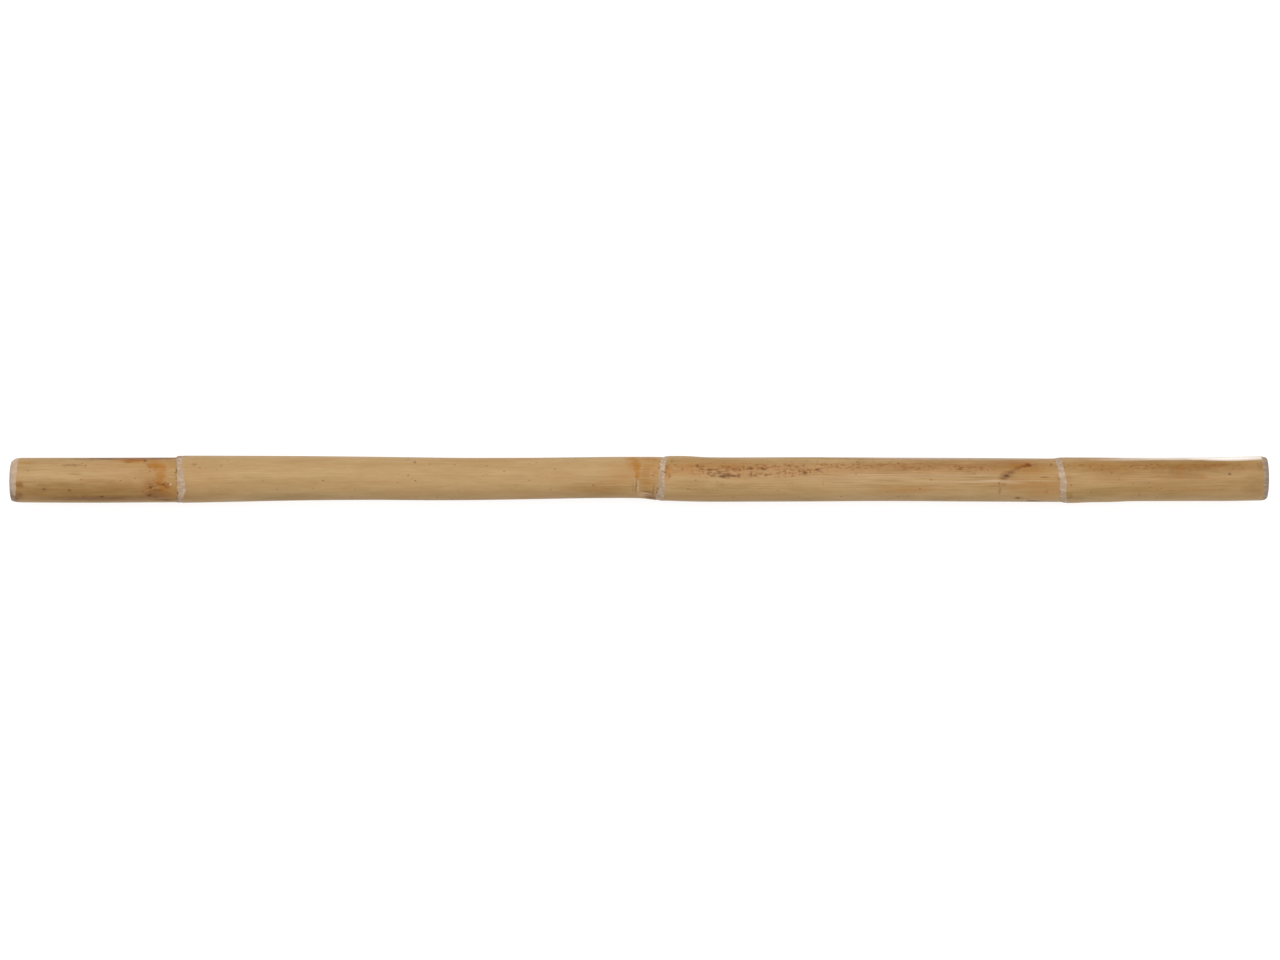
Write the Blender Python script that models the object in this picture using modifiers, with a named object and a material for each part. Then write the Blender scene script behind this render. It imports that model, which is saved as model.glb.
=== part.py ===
"""Rattan cane: one solid, skin-on length of rattan stem with three trimmed nodes and two bevelled saw cuts.

The stem grew as one piece, so it is one solid. It is turned straight from a profile, as if it had grown without
a bend, and then every point is moved to where the real, slightly crooked stem has it.

Frame: +X along the cane, +Z up, origin under its middle on the surface that it lies on. Metres.
"""

import math

import bmesh
import bpy

MM = 0.001

# The cut length, and how the sawn ends are sanded: a quarter ellipse that runs along the stem and in towards the
# axis. The second number of each end is how far its face is pushed sideways, because one side was sanded more.
LENGTH = 710 * MM
LEFT_BEVEL = {"along": 6.0 * MM, "inward": 2.0 * MM, "face_shift": -0.75 * MM}
RIGHT_BEVEL = {"along": 4.0 * MM, "inward": 1.4 * MM, "face_shift": 0.2 * MM}

# The four internodes, from the left end to the right. Each row is one place on the stem: its distance from the
# middle of the cane, how far the stem bows sideways there, and its width, in millimetres.
INTERNODES = (
    ((-355, -0.3, 25.5), (-310, -0.4, 25.7), (-263, -0.2, 25.6)),
    (
        (-256, 0.2, 26.9),
        (-243, 0.3, 26.7),
        (-197, 0.7, 25.5),
        (-152, 0.7, 24.7),
        (-107, 0.3, 24.3),
        (-62, 0.6, 23.7),
        (-16, 1.2, 23.5),
        (3, 1.1, 23.8),
        (11, 0.6, 24.6),
    ),
    (
        (17, 0.7, 25.6),
        (26, 0.5, 25.9),
        (41, 0.0, 25.4),
        (97, 0.1, 25.3),
        (142, 0.1, 24.8),
        (187, -0.1, 24.9),
        (232, -0.4, 24.8),
    ),
    (
        (244, -0.4, 26.0),
        (255, -0.2, 25.6),
        (266, -0.2, 25.4),
        (278, 0.0, 24.8),
        (311, 0.1, 24.8),
        (334, 0.3, 25.1),
        (349, 0.6, 25.2),
        (355, 0.6, 25.2),
    ),
)

# The stem is a little flatter from top to bottom than it is wide, and lies on that flatter side. Each row is a
# distance along the cane and the height of the stem's axis above the surface there, in millimetres.
FLATNESS = 0.98
AXIS_HEIGHT = (
    (-355, 13.4),
    (-259, 12.85),
    (-130, 12.6),
    (20, 12.35),
    (140, 12.9),
    (243, 12.4),
    (355, 13.3),
)

# Each node is a ring where the stem steps up in width, across its step run. The ring is oblique: it leans along
# the stem by so much at the stem's +Y side and at its top, and the other way at their opposites.
NODES = (
    {"place": -261.6 * MM, "step_run": 1.8 * MM, "lean_side": 0.2 * MM, "lean_top": 1.0 * MM},
    {"place": 13.0 * MM, "step_run": 3.2 * MM, "lean_side": 1.6 * MM, "lean_top": -0.8 * MM},
    {"place": 237.3 * MM, "step_run": 3.8 * MM, "lean_side": -1.9 * MM, "lean_top": 0.9 * MM},
)
LEAN_REACH = 26.0 * MM

# The mesh: sides round the stem, and how far apart its rows stand at a node, in a bevel and elsewhere.
SIDES = 40
NODE_SPAN = 6.0 * MM
NODE_ROW = 0.9 * MM
BEVEL_ROWS = 6
LONG_ROW = 11.0 * MM
POLE_MERGE = 0.01 * MM
SHARP_ANGLE = math.radians(38)

SKIN_COLOUR = (0.515, 0.337, 0.165, 1.0)
SKIN_ROUGHNESS = 0.42


def clear_scene():
    for old in list(bpy.data.objects):
        bpy.data.objects.remove(old, do_unlink=True)


def ease(t):
    """0 before t is 0, 1 after t is 1, and smooth between them."""
    t = min(max(t, 0.0), 1.0)
    return t * t * (3 - 2 * t)


def slope(rows, i, column):
    """The slope at row i of a smooth line through the rows."""
    before = rows[max(i - 1, 0)]
    after = rows[min(i + 1, len(rows) - 1)]
    return (after[column] - before[column]) / (after[0] - before[0])


def read_rows(rows, x, column):
    """Reads a column of rows in millimetres at x in metres, on a smooth line that runs level past both ends."""
    at = min(max(x / MM, rows[0][0]), rows[-1][0])
    i = 0
    while i < len(rows) - 2 and at > rows[i + 1][0]:
        i += 1
    run = rows[i + 1][0] - rows[i][0]
    t = (at - rows[i][0]) / run
    value = (
        (1 + 2 * t) * (1 - t) ** 2 * rows[i][column]
        + t * (1 - t) ** 2 * run * slope(rows, i, column)
        + t * t * (3 - 2 * t) * rows[i + 1][column]
        + t * t * (t - 1) * run * slope(rows, i + 1, column)
    )
    return value * MM


def read_stem(x, column):
    """A column of INTERNODES at x, stepping from one internode's value to the next one's at each node."""
    value = read_rows(INTERNODES[0], x, column)
    for node, beyond in zip(NODES, INTERNODES[1:]):
        past = ease((x - node["place"]) / node["step_run"] + 0.5)
        value += past * (read_rows(beyond, x, column) - value)
    return value


def bevel_share(x):
    """(how far into its bevel the end is cut at x, from 0 to 1; that end's bevel)."""
    bevel = LEFT_BEVEL if x < 0 else RIGHT_BEVEL
    into = 1 - (LENGTH / 2 - abs(x)) / bevel["along"]
    into = min(max(into, 0.0), 1.0)
    return 1 - math.sqrt(1 - into * into), bevel


def radius_at(x):
    share, bevel = bevel_share(x)
    return read_stem(x, 2) / 2 - share * bevel["inward"]


def row_places():
    """Where the mesh has a row, from end to end: even steps in the bevels' arcs, at the nodes and between them."""
    places = []
    for bevel, end in ((LEFT_BEVEL, -1), (RIGHT_BEVEL, 1)):
        for i in range(BEVEL_ROWS + 1):
            inset = bevel["along"] * (1 - math.cos(i / BEVEL_ROWS * math.pi / 2))
            places.append(end * (LENGTH / 2 - inset))
    stretch_start = -LENGTH / 2 + LEFT_BEVEL["along"]
    for node in NODES:
        near = node["place"] - NODE_SPAN
        places += even_places(stretch_start, near, LONG_ROW)
        stretch_start = node["place"] + NODE_SPAN
        places += even_places(near, stretch_start, NODE_ROW)
        places += [near, stretch_start]
    places += even_places(stretch_start, LENGTH / 2 - RIGHT_BEVEL["along"], LONG_ROW)
    return sorted(places)


def even_places(start, end, longest):
    """The places that split start to end into equal steps no longer than longest, without its two ends."""
    steps = math.ceil((end - start) / longest)
    return [start + (end - start) * i / steps for i in range(1, steps)]


def turn_straight_stem():
    """A straight stem turned round X, from the axis at one end to the axis at the other."""
    places = row_places()
    outline = [(places[0], 0.0, 0.0)]
    outline += [(x, radius_at(x), 0.0) for x in places]
    outline += [(places[-1], 0.0, 0.0)]
    profile_mesh = bpy.data.meshes.new("stem_profile")
    edges = [(i, i + 1) for i in range(len(outline) - 1)]
    profile_mesh.from_pydata(outline, edges, [])
    profile = bpy.data.objects.new("stem_profile", profile_mesh)
    bpy.context.scene.collection.objects.link(profile)
    screw = profile.modifiers.new("turn", "SCREW")
    screw.axis = "X"
    screw.steps = SIDES
    screw.render_steps = SIDES
    screw.use_merge_vertices = True
    screw.merge_threshold = POLE_MERGE
    graph = bpy.context.evaluated_depsgraph_get()
    stem_mesh = bpy.data.meshes.new_from_object(profile.evaluated_get(graph))
    bpy.data.objects.remove(profile, do_unlink=True)
    return stem_mesh


def node_lean(x, across, up):
    """How far a point moves along the stem because the nearest node's ring is oblique."""
    lean = 0.0
    for node in NODES:
        away = min(abs(x - node["place"]) / LEAN_REACH, 1.0)
        lean += (1 - away * away) ** 2 * (node["lean_side"] * across + node["lean_top"] * up)
    return lean


def grown_point(point):
    """Where a point of the straight stem lies on the real one."""
    x, y, z = point
    radius = max(read_stem(x, 2) / 2, MM)
    share, bevel = bevel_share(x)
    return (
        x + node_lean(x, y / radius, z / radius),
        y + read_stem(x, 1) + share * bevel["face_shift"],
        z * FLATNESS + read_rows(AXIS_HEIGHT, x, 1),
    )


def shape_stem(mesh):
    """Bends the straight stem, and flattens the wide side of each node where it lies on the surface."""
    shaped = bmesh.new()
    shaped.from_mesh(mesh)
    for vertex in shaped.verts:
        x, y, z = grown_point(vertex.co)
        vertex.co = (x, y, max(z, 0.0))
    middle = (min(v.co.y for v in shaped.verts) + max(v.co.y for v in shaped.verts)) / 2
    bmesh.ops.translate(shaped, verts=shaped.verts, vec=(0, -middle, 0))
    bmesh.ops.recalc_face_normals(shaped, faces=shaped.faces)
    shaped.to_mesh(mesh)
    shaped.free()
    mesh.shade_smooth()
    mesh.set_sharp_from_angle(angle=SHARP_ANGLE)


def skin_material():
    skin = bpy.data.materials.new("rattan_skin")
    skin.use_nodes = True
    shader = skin.node_tree.nodes["Principled BSDF"]
    shader.inputs["Base Color"].default_value = SKIN_COLOUR
    shader.inputs["Roughness"].default_value = SKIN_ROUGHNESS
    shader.inputs["Metallic"].default_value = 0.0
    return skin


def build_cane():
    mesh = turn_straight_stem()
    mesh.name = "cane"
    shape_stem(mesh)
    mesh.materials.clear()
    mesh.materials.append(skin_material())
    collection = bpy.data.collections.new("rattan_cane")
    bpy.context.scene.collection.children.link(collection)
    collection.objects.link(bpy.data.objects.new("cane", mesh))


clear_scene()
build_cane()
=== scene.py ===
"""Rattan cane: the finished look of one solid, skin-on length of rattan stem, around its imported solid.

Geometry Nodes turn the stem straight, as if it had grown without a bend, and then bend it to where the solid
is. Its trimmed nodes, creases, scars and chips are pressed into that mesh afterwards. Each point keeps the
place that it had on the straight stem, so that the grain and the markings follow the bends.

Lengths are in metres, except where a name or a comment says millimetres.
"""

import functools
import math

import bpy
import numpy as np
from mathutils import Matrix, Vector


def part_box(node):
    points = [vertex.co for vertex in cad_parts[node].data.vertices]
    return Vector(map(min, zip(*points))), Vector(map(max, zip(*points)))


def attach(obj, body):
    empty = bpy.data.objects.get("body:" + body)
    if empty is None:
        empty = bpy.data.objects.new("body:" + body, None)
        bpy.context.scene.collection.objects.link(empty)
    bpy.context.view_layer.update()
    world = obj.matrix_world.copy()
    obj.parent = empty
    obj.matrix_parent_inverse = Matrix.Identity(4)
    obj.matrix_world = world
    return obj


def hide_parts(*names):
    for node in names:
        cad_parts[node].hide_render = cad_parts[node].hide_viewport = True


bl_info = {
    "name": "Rattan cane",
    "version": (1, 0, 0),
    "blender": (4, 5, 0),
    "location": "3D View > Sidebar > Cane",
    "description": "Builds a skin-on rattan cane with trimmed nodes and sanded saw cuts",
    "category": "Object",
}

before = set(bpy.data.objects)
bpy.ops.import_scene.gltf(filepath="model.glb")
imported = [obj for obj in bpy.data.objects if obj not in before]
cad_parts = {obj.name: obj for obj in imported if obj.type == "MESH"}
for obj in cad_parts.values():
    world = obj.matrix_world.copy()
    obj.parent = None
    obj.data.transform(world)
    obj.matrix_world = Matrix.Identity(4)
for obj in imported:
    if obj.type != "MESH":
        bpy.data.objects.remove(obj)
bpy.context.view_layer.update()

MM = 0.001
HALF_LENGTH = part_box("cane")[1].x
HALF_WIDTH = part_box("cane")[1].y

# The radius that turns angles round the stem into millimetres of its skin.
MEAN_RADIUS = 12.6 * MM

# The four internodes, from the left end to the right. Each row is one place on the stem: its distance from
# the middle of the cane, how far the stem bows sideways there, and its width, in millimetres.
INTERNODES = (
    ((-355, -0.3, 25.5), (-310, -0.4, 25.7), (-263, -0.2, 25.6)),
    (
        (-256, 0.2, 26.9),
        (-243, 0.3, 26.7),
        (-197, 0.7, 25.5),
        (-152, 0.7, 24.7),
        (-107, 0.3, 24.3),
        (-62, 0.6, 23.7),
        (-16, 1.2, 23.5),
        (3, 1.1, 23.8),
        (11, 0.6, 24.6),
    ),
    (
        (17, 0.7, 25.6),
        (26, 0.5, 25.9),
        (41, 0.0, 25.4),
        (97, 0.1, 25.3),
        (142, 0.1, 24.8),
        (187, -0.1, 24.9),
        (232, -0.4, 24.8),
    ),
    (
        (244, -0.4, 26.0),
        (255, -0.2, 25.6),
        (266, -0.2, 25.4),
        (278, 0.0, 24.8),
        (311, 0.1, 24.8),
        (334, 0.3, 25.1),
        (349, 0.6, 25.2),
        (355, 0.6, 25.2),
    ),
)

# How much flatter the stem is from top to bottom, and the height of its axis along its length, in
# millimetres.
FLATNESS = 0.98
AXIS_HEIGHT = (
    (-355, 13.4),
    (-259, 12.85),
    (-130, 12.6),
    (20, 12.35),
    (140, 12.9),
    (243, 12.4),
    (355, 13.3),
)

# Each node steps up in width across its step run, and its ring leans along the stem by so much at the stem's
# +Y side and at its top. The edges are those of the pale trimmed band, as distances from the node's place at
# EDGE_ANGLES, in degrees round from the top towards +Y. The seed starts the draws that make them ragged. A
# ring's lean fades out over LEAN_REACH of the stem to either side.
EDGE_ANGLES = (-180, -130, -90, -62, -45, -28, -8, 8, 27, 47, 68, 90, 130)
NODES = (
    {
        "place": -261.6 * MM,
        "seed": 3,
        "step_run": 1.8 * MM,
        "lean_side": 0.2 * MM,
        "lean_top": 1.0 * MM,
        "left_mm": (-0.2, -0.5, -0.4, 0.2, 0.9, 1.0, 0.6, 0.5, 0.2, -0.1, -0.4, -0.4, 0.1),
        "right_mm": (4.3, 3.6, 3.8, 3.9, 4.5, 5.6, 5.1, 4.4, 3.5, 3.2, 4.0, 4.2, 3.4),
    },
    {
        "place": 13.0 * MM,
        "seed": 13,
        "step_run": 3.2 * MM,
        "lean_side": 1.6 * MM,
        "lean_top": -0.8 * MM,
        "left_mm": (-1.6, -1.9, -1.9, -2.0, -1.6, -1.0, -1.2, -1.5, -1.8, -1.9, -2.0, -1.9, -1.2),
        "right_mm": (2.2, 1.8, 0.4, 2.6, 3.0, 3.0, 2.2, 1.9, 1.4, 1.3, 1.9, 2.5, 2.9),
    },
    {
        "place": 237.3 * MM,
        "seed": 23,
        "step_run": 3.8 * MM,
        "lean_side": -1.9 * MM,
        "lean_top": 0.9 * MM,
        "left_mm": (-1.9, -1.6, -1.2, -1.6, -1.7, -1.9, -1.7, -1.5, -1.4, -1.3, -1.4, -1.3, -1.7),
        "right_mm": (2.2, 2.6, 3.0, 1.9, 1.2, 1.5, 2.2, 2.4, 2.0, 2.3, 2.5, 2.6, 2.0),
    },
)
LEAN_REACH = 26.0 * MM

# How ragged the left and right edges of a trimmed band are, in millimetres, and the waves round the stem that
# make them so. The skin steps down to the band over its shoulder, and the knife left a groove at the left
# edge, which shows where its own waves, times the gain, are above 0. A point outside all bands counts as no
# farther from them than FAR_OUTSIDE.
EDGE_RAGGED = (0.12, 0.22)
EDGE_WAVES = ((7, 13, 23, 41), (9, 17, 29, 47))
SHOULDER = 0.35 * MM
GROOVE_WIDTH = 0.38 * MM
GROOVE_WAVES = (5, 11, 19, 31)
GROOVE_GAIN = 1.3
FAR_OUTSIDE = -5 * MM

# How the sawn ends are sanded: a quarter ellipse along the stem and in towards the axis, and then a low dome.
# The sanding bares the wood over so much of the stem's length, and over more of it on the +Y side. That edge
# wavers, as the waves and the seed say. FACE_INSET keeps the face inside the solid, and the rows are the
# mesh's rows in a bevel and on a face.
LEFT_BEVEL = {
    "along": 6.0 * MM,
    "inward": 2.0 * MM,
    "face_shift": -0.75 * MM,
    "bare": 4.3 * MM,
    "bare_side": 0.75 * MM,
    "waver": 0.35 * MM,
    "waves": (3, 8, 17),
    "seed": 71,
}
RIGHT_BEVEL = {
    "along": 4.0 * MM,
    "inward": 1.4 * MM,
    "face_shift": 0.2 * MM,
    "bare": 3.5 * MM,
    "bare_side": 0.3 * MM,
    "waver": 0.25 * MM,
    "waves": (4, 9, 18),
    "seed": 72,
}
FACE_DOME = 0.25 * MM
FACE_INSET = 0.06 * MM
BEVEL_ROWS = 16
FACE_ROWS = 12

# Stretches of the stem that need close rows, from and to, besides its nodes.
FINE_STRETCHES = ((-4.0 * MM, 7.0 * MM, 0.45 * MM), (200 * MM, 226 * MM, 0.9 * MM))
NODE_SPAN = 8.0 * MM

# How far apart the places are at which side_shift reads the stem.
SHIFT_STEP = 0.25 * MM

# The grown surface: how long its furrows and its swellings are, and the swellings' scale round the stem.
FURROW_LENGTH = 90 * MM
SWELL_LENGTH = 50 * MM
SWELL_ROUND = 1.1

# The markings, in millimetres: place along the stem, place across it as seen from above, half length, half
# width, and strength.
MARKS = {
    # Browner skin: the upper side of the last two internodes, the lower side of the first, and the first and
    # the last ones as a whole. The long thin bands along the top and bottom edges are painted shade at the
    # stem's outline.
    "shade": (
        (56.7, 8.8, 39.4, 4, 0.5), (174.9, 8.2, 59.1, 4, 0.6), (295.8, 7.6, 56.3, 4.8, 0.85),
        (217.6, 5.4, 19.1, 6.8, 0.5), (295.8, 0.3, 56.3, 11.3, 0.35), (214.3, 2, 25.3, 13.6, 0.3),
        (324, -7.1, 25.3, 5.7, 0.15), (-307.8, -8.8, 50.6, 5.1, 0.85), (-314.6, -4.8, 42.8, 2.3, 0.4),
        (-242.6, -8.8, 13.5, 2.8, 0.5), (-276.3, -4.2, 9, 9, 0.4), (-303.3, 12.2, 45, 1.7, 0.35),
        (7.2, -0.3, 5.6, 13.6, 0.25), (27.5, 5.4, 7.9, 6.8, 0.12), (8.9, -11, 4.5, 1.1, 0.8),
        (166.4, 12.2, 67.5, 0.9, 0.9), (-22, -8.2, 21.4, 4, 0.42), (321.2, 5.4, 25.3, 4, 0.5),
        (352.1, 4.2, 2.8, 5.7, 0.4), (-134.5, -12.2, 118.1, 1.4, 0.3), (118.6, -12.2, 106.9, 1.4, 0.35),
        (-292.1, -12.7, 56.3, 1.1, 0.3),
    ),
    # Stretches with strong lengthwise lines.
    "lined": (
        (164.8, -0.3, 77.6, 5.7, 0.5), (295.8, -0.3, 56.3, 9, 0.35), (-320.2, -2.5, 34.9, 5.7, 0.3),
        (59.6, -5.9, 45, 5.1, 0.35), (-325.8, 6.5, 28.1, 3.4, 0.3), (-22, -5.9, 25.3, 4.5, 0.4),
        (5, 0.8, 3.9, 12.4, 0.5),
    ),
    # A green cast on the sides that stayed in the shade. The long marks low on the -Y side of the second
    # internode also darken the skin there: painted shade.
    "moss": (
        (-196.4, -10.5, 24.8, 3.4, 0.45), (-55.8, -8.8, 56.3, 2.8, 0.2), (59.6, -7.6, 45, 4.5, 0.25),
        (252.5, -8.8, 13.5, 3.4, 0.55), (298.7, -7.6, 50.6, 4.5, 0.3), (-263.9, 9.9, 3.9, 2.3, 0.5),
        (-263.4, 3.1, 2.5, 5.1, 0.4), (46.6, -3.4, 1.8, 0.8, 0.5), (-130, -6.5, 90, 1.7, 0.15),
        (14, -8.8, 2.3, 2.8, 0.5), (18.5, 10.5, 3.4, 2.3, 0.4), (240.1, 5.4, 2.8, 5.1, 0.3),
        (240.7, -9.9, 2.8, 2.3, 0.9), (45.5, 4.8, 3.4, 1.7, 0.3), (-325.8, 11.3, 19.1, 1.1, 0.35),
        (-162.7, 9.9, 56.3, 2.3, 0.15),
    ),
    # A dry, pinkish cast.
    "blush": (
        (-245.4, -0.3, 11.3, 4.5, 0.5), (-152, 4.8, 14.1, 5.1, 0.25), (-322.5, 1.4, 15.8, 5.1, 0.3),
        (84.9, 4.8, 61.9, 4, 0.75), (28, -4.8, 7.3, 3.4, 0.3), (174.9, 6.5, 33.8, 3.4, 0.7),
        (-9.1, 4.2, 7.9, 5.7, 0.3), (209.8, -1.7, 12.4, 2.8, 0.6), (-50.2, 7.6, 14.1, 2.3, 0.25),
        (-286.4, 2.5, 13.5, 5.7, 0.4), (225.5, -6.5, 7.9, 3.4, 0.5), (301.5, 0.3, 45, 2, 0.55),
        (208.6, 9.3, 9, 1.7, 0.6), (16.2, 4.8, 2.3, 4.5, 0.7), (-325.8, -11.3, 24.8, 0.9, 0.4),
        (81.5, -2, 5.6, 2.3, 0.3), (-305.6, 9.3, 9, 1.1, 0.5), (-272.9, 11, 2.8, 0.9, 0.6),
    ),
    # Sap stains: at the first node, at the middle one, and in the last internodes.
    "rust": (
        (-284.8, 10.8, 6.8, 1.2, 1), (-276.3, 10.5, 6.8, 1.5, 0.6), (-293.2, 11, 5.6, 0.8, 0.5),
        (-345, 9.3, 4.5, 0.7, 0.5), (-273.5, 9, 4.5, 1.6, 0.95), (-272.4, 7.1, 3.9, 2, 0.8),
        (-269.6, 6.5, 2.5, 2.8, 0.8), (-270.1, 2.5, 2.3, 2.8, 0.75), (-271, -1.4, 2.5, 2.3, 0.8),
        (-268.4, -5.4, 2.5, 3.4, 0.75), (-272.9, -3.7, 5.1, 5.1, 0.25), (-269, 2, 7.3, 11.3, 0.36),
        (-265.6, 8.2, 4.5, 3.4, 0.42), (-275.8, 5.4, 6.8, 6.8, 0.3), (-274.1, -5.9, 5.1, 5.7, 0.35),
        (-265.1, 9.9, 4.5, 2.3, 0.5), (-265.6, -7.1, 4.5, 5.1, 0.5), (-265.1, 2, 4.5, 7.9, 0.35),
        (-286.4, 9.3, 9, 2.3, 0.3), (-266.2, -3.1, 1.5, 1.1, 0.75), (-348.9, -3.1, 2.3, 2, 0.5),
        (-4, 11.6, 3.4, 1.4, 0.7), (-2.1, 9.3, 2.3, 2.4, 0.95), (-1.3, 6.8, 1.8, 2.7, 1),
        (-0.5, 2.5, 1.2, 2.7, 0.9), (-5.1, 8.8, 2.3, 4.5, 0.5), (5.5, 4.8, 5.1, 10.2, 0.52),
        (-4, 8.2, 4.5, 5.7, 0.42), (5, -2, 4.5, 2.8, 0.45), (5, 11, 4.8, 1.7, 0.6),
        (-10.8, 0.8, 9, 10.2, 0.3), (-22, -6.5, 15.8, 2.3, 0.35), (16.5, 4.5, 2, 3.4, 0.6),
        (26.4, 7.1, 9, 4.5, 0.42), (52.8, -10.5, 1.7, 0.8, 0.5), (48.3, 8.8, 20.3, 2.8, 0.35),
        (149.6, -5.9, 13.5, 1.5, 0.5), (218.2, 8.1, 2.4, 1.2, 1), (213.1, 7.5, 4.5, 1.5, 0.7),
        (219.9, 6.5, 14.6, 5.1, 0.45), (225.5, -2.5, 13.5, 9, 0.38), (304.3, 5.9, 1.4, 4, 0.5),
        (306, 7.1, 2, 0.8, 0.5), (324.5, 7.6, 4.5, 1.1, 0.4), (317.2, 2, 2.3, 1.7, 0.35),
        (259.3, 7.6, 15.8, 2.8, 0.4), (287.4, 7.1, 50.6, 3.4, 0.2), (42.7, -10.5, 33.8, 1.7, 0.3),
        (-100.8, 11, 22.5, 1.1, 0.3), (287.4, -5.9, 45, 4, 0.25),
    ),
    # Brown grime, also on bare wood: round the first node's stain, on the knot's tail, and on the right
    # bevel.
    # The marks low on the left bevel make its wood darker towards its lower side.
    "grime": (
        (-285.3, 11.3, 6.2, 0.7, 0.55), (-288.1, 9.7, 2, 0.4, 0.6), (-278.9, 10.7, 0.7, 0.8, 0.8),
        (-276.6, 11.6, 1.7, 0.6, 0.5), (-297.7, 12, 19.1, 0.8, 0.75), (-274.1, 12, 13.5, 0.7, 0.8),
        (-276.6, -2.5, 2.8, 2.5, 0.35), (-275.5, -4.5, 1.2, 0.6, 0.7), (-270.7, -2.8, 1.7, 0.8, 0.5),
        (-269, -3, 1, 0.6, 0.7), (-271.8, -6.8, 2.3, 1, 0.55), (-275.5, -9.2, 2.3, 1.1, 0.65),
        (-272.9, -10.1, 2.5, 0.8, 0.55), (-266.2, -3.8, 1.5, 0.9, 0.55), (-267.3, -11.7, 6.8, 0.5, 0.8),
        (-260.6, -11.6, 0.9, 0.7, 0.7), (-348.6, -2.8, 2.1, 1.5, 0.55), (-350, -3.7, 1, 0.9, 0.6),
        (-343.8, -1.7, 2.8, 0.6, 0.25), (-335, -5.7, 1.1, 0.8, 0.4), (-320.8, -6.3, 1, 0.8, 0.4),
        (-313.2, -9.9, 2.3, 0.9, 0.45), (-302.5, -9.9, 1.1, 0.7, 0.7), (-301.1, -10, 3.9, 0.4, 0.4),
        (-319.1, 8, 4.5, 0.5, 0.4), (-317.4, 2.9, 2.8, 0.28, 0.45), (-351.7, -11, 1.7, 1.7, 0.7),
        (-353.7, -9.9, 1.1, 2.3, 0.6), (-1.1, -4.2, 0.5, 4, 0.5), (-3.2, -4.2, 0.3, 3.4, 0.25),
        (6.1, -7.1, 3.4, 0.4, 0.6), (9.5, -5.9, 0.5, 3.4, 0.5), (7.2, -10.2, 2.3, 0.6, 0.6),
        (14.3, 4.1, 1.1, 0.6, 0.7), (15.9, 7.1, 0.7, 1.5, 0.5), (17.9, 1.5, 0.6, 0.6, 0.6),
        (17.9, 10.5, 0.5, 0.9, 0.5), (204.7, 0.8, 2.3, 1.4, 0.5), (207, 2.8, 2.8, 1.5, 0.75),
        (209.2, 4.2, 2.3, 1.1, 0.7), (211.5, 5.4, 2.3, 0.8, 0.65), (213.7, 6.5, 2.5, 0.8, 0.7),
        (216.5, 7.5, 2.5, 1, 0.75), (219.3, 8.1, 2.5, 1.1, 0.8), (-271.8, -9.3, 6.8, 2.3, 0.5),
        (203, -6.2, 0.7, 2.4, 0.4), (202.7, -2.5, 0.5, 0.8, 0.5), (205.3, -2.9, 1.4, 0.7, 0.4),
        (213.4, -10.6, 1.7, 0.7, 0.6), (217.6, -11.1, 2.8, 0.28, 0.5), (221.6, -12.4, 4.5, 0.4, 0.8),
        (228.3, -6.8, 1.1, 1.5, 0.3), (233.1, 8.5, 0.8, 0.7, 0.6), (235.1, -0.8, 0.3, 3.4, 0.35),
        (241.6, -10.2, 1.4, 1.7, 0.4), (329.6, 3.1, 2.3, 0.3, 0.3), (332.4, 3.1, 0.9, 0.6, 0.4),
        (325.7, 8.4, 5.1, 0.5, 0.4), (298.7, 10.3, 33.8, 0.3, 0.3), (327.9, -5.9, 1.1, 0.8, 0.25),
        (12.9, -4.8, 2.5, 7.4, 0.25), (318.3, 5.4, 30.9, 4, 0.22), (214.3, 8.8, 20.3, 2.8, 0.35),
        (-349.5, -9.3, 2, 2.3, 0.5), (347, -3.7, 6.8, 5.7, 0.4), (350.4, 7.6, 2.8, 2.8, 0.4),
        (-18.7, -10.5, 16.9, 1.7, 0.15), (-297.7, -11, 33.8, 1.4, 0.5), (7.8, -9.9, 3.4, 1.7, 0.5),
        (349.3, 5.1, 4.5, 0.7, 0.3), (245.2, -11, 4.5, 1.1, 0.35), (150.1, -9.9, 5.6, 0.9, 0.25),
        (68, -11.9, 28.1, 0.7, 0.25),
    ),
    # Greyer bare wood: grey with age on the right bevel, and greyer towards the lower side of the left one.
    "tarnish": (
        (356, 2, 4.5, 30, 1), (-356.8, -15, 5.1, 9, 0.6), (239, 9.3, 3.9, 3.4, 0.4),
    ),
    # Skin worn thin in streaks. The long, thin streaks along the middle of the third internode are painted
    # highlight.
    "pale": (
        (111.9, 1.6, 32.1, 0.3, 0.55), (164.8, 2.5, 55.1, 0.28, 0.5), (188.9, -1, 21.4, 0.8, 0.8),
        (149.6, -1.1, 39.4, 0.5, 0.55), (135.5, 0.3, 61.9, 2.8, 0.3), (209.8, -1.7, 7.9, 0.9, 0.45),
        (194.6, 1.9, 12.4, 0.3, 0.6), (222.7, -0.8, 13.5, 0.5, 0.45), (295.8, -0.6, 56.3, 1, 0.22),
        (270, -2.5, 25.9, 0.4, 0.3), (-264.8, -2.9, 0.7, 0.6, 1), (-196.4, -7.1, 15.8, 0.5, 0.4),
        (5, -8.9, 4.2, 1.2, 0.9), (0.1, -4.5, 0.4, 5.1, 0.6), (-2.3, -4.2, 0.3, 4, 0.3),
        (217.4, -12.3, 0.6, 0.7, 1), (205, -8.3, 1.2, 0.5, 0.5), (7.2, 3.1, 1.1, 3.4, 0.35),
        (-263.9, 5.4, 1.7, 0.5, 0.4), (-264.5, 1.4, 2.3, 0.5, 0.4), (-263.4, 3.4, 1.7, 0.3, 0.35),
        (45.5, 2.3, 0.8, 0.5, 0.5), (48.3, 1.1, 2.8, 0.4, 0.35), (51.1, -1.4, 11.3, 0.5, 0.3),
    ),
    # A whitish painted highlight along the top edge, mostly near the right end.
    "bloom": (
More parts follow.
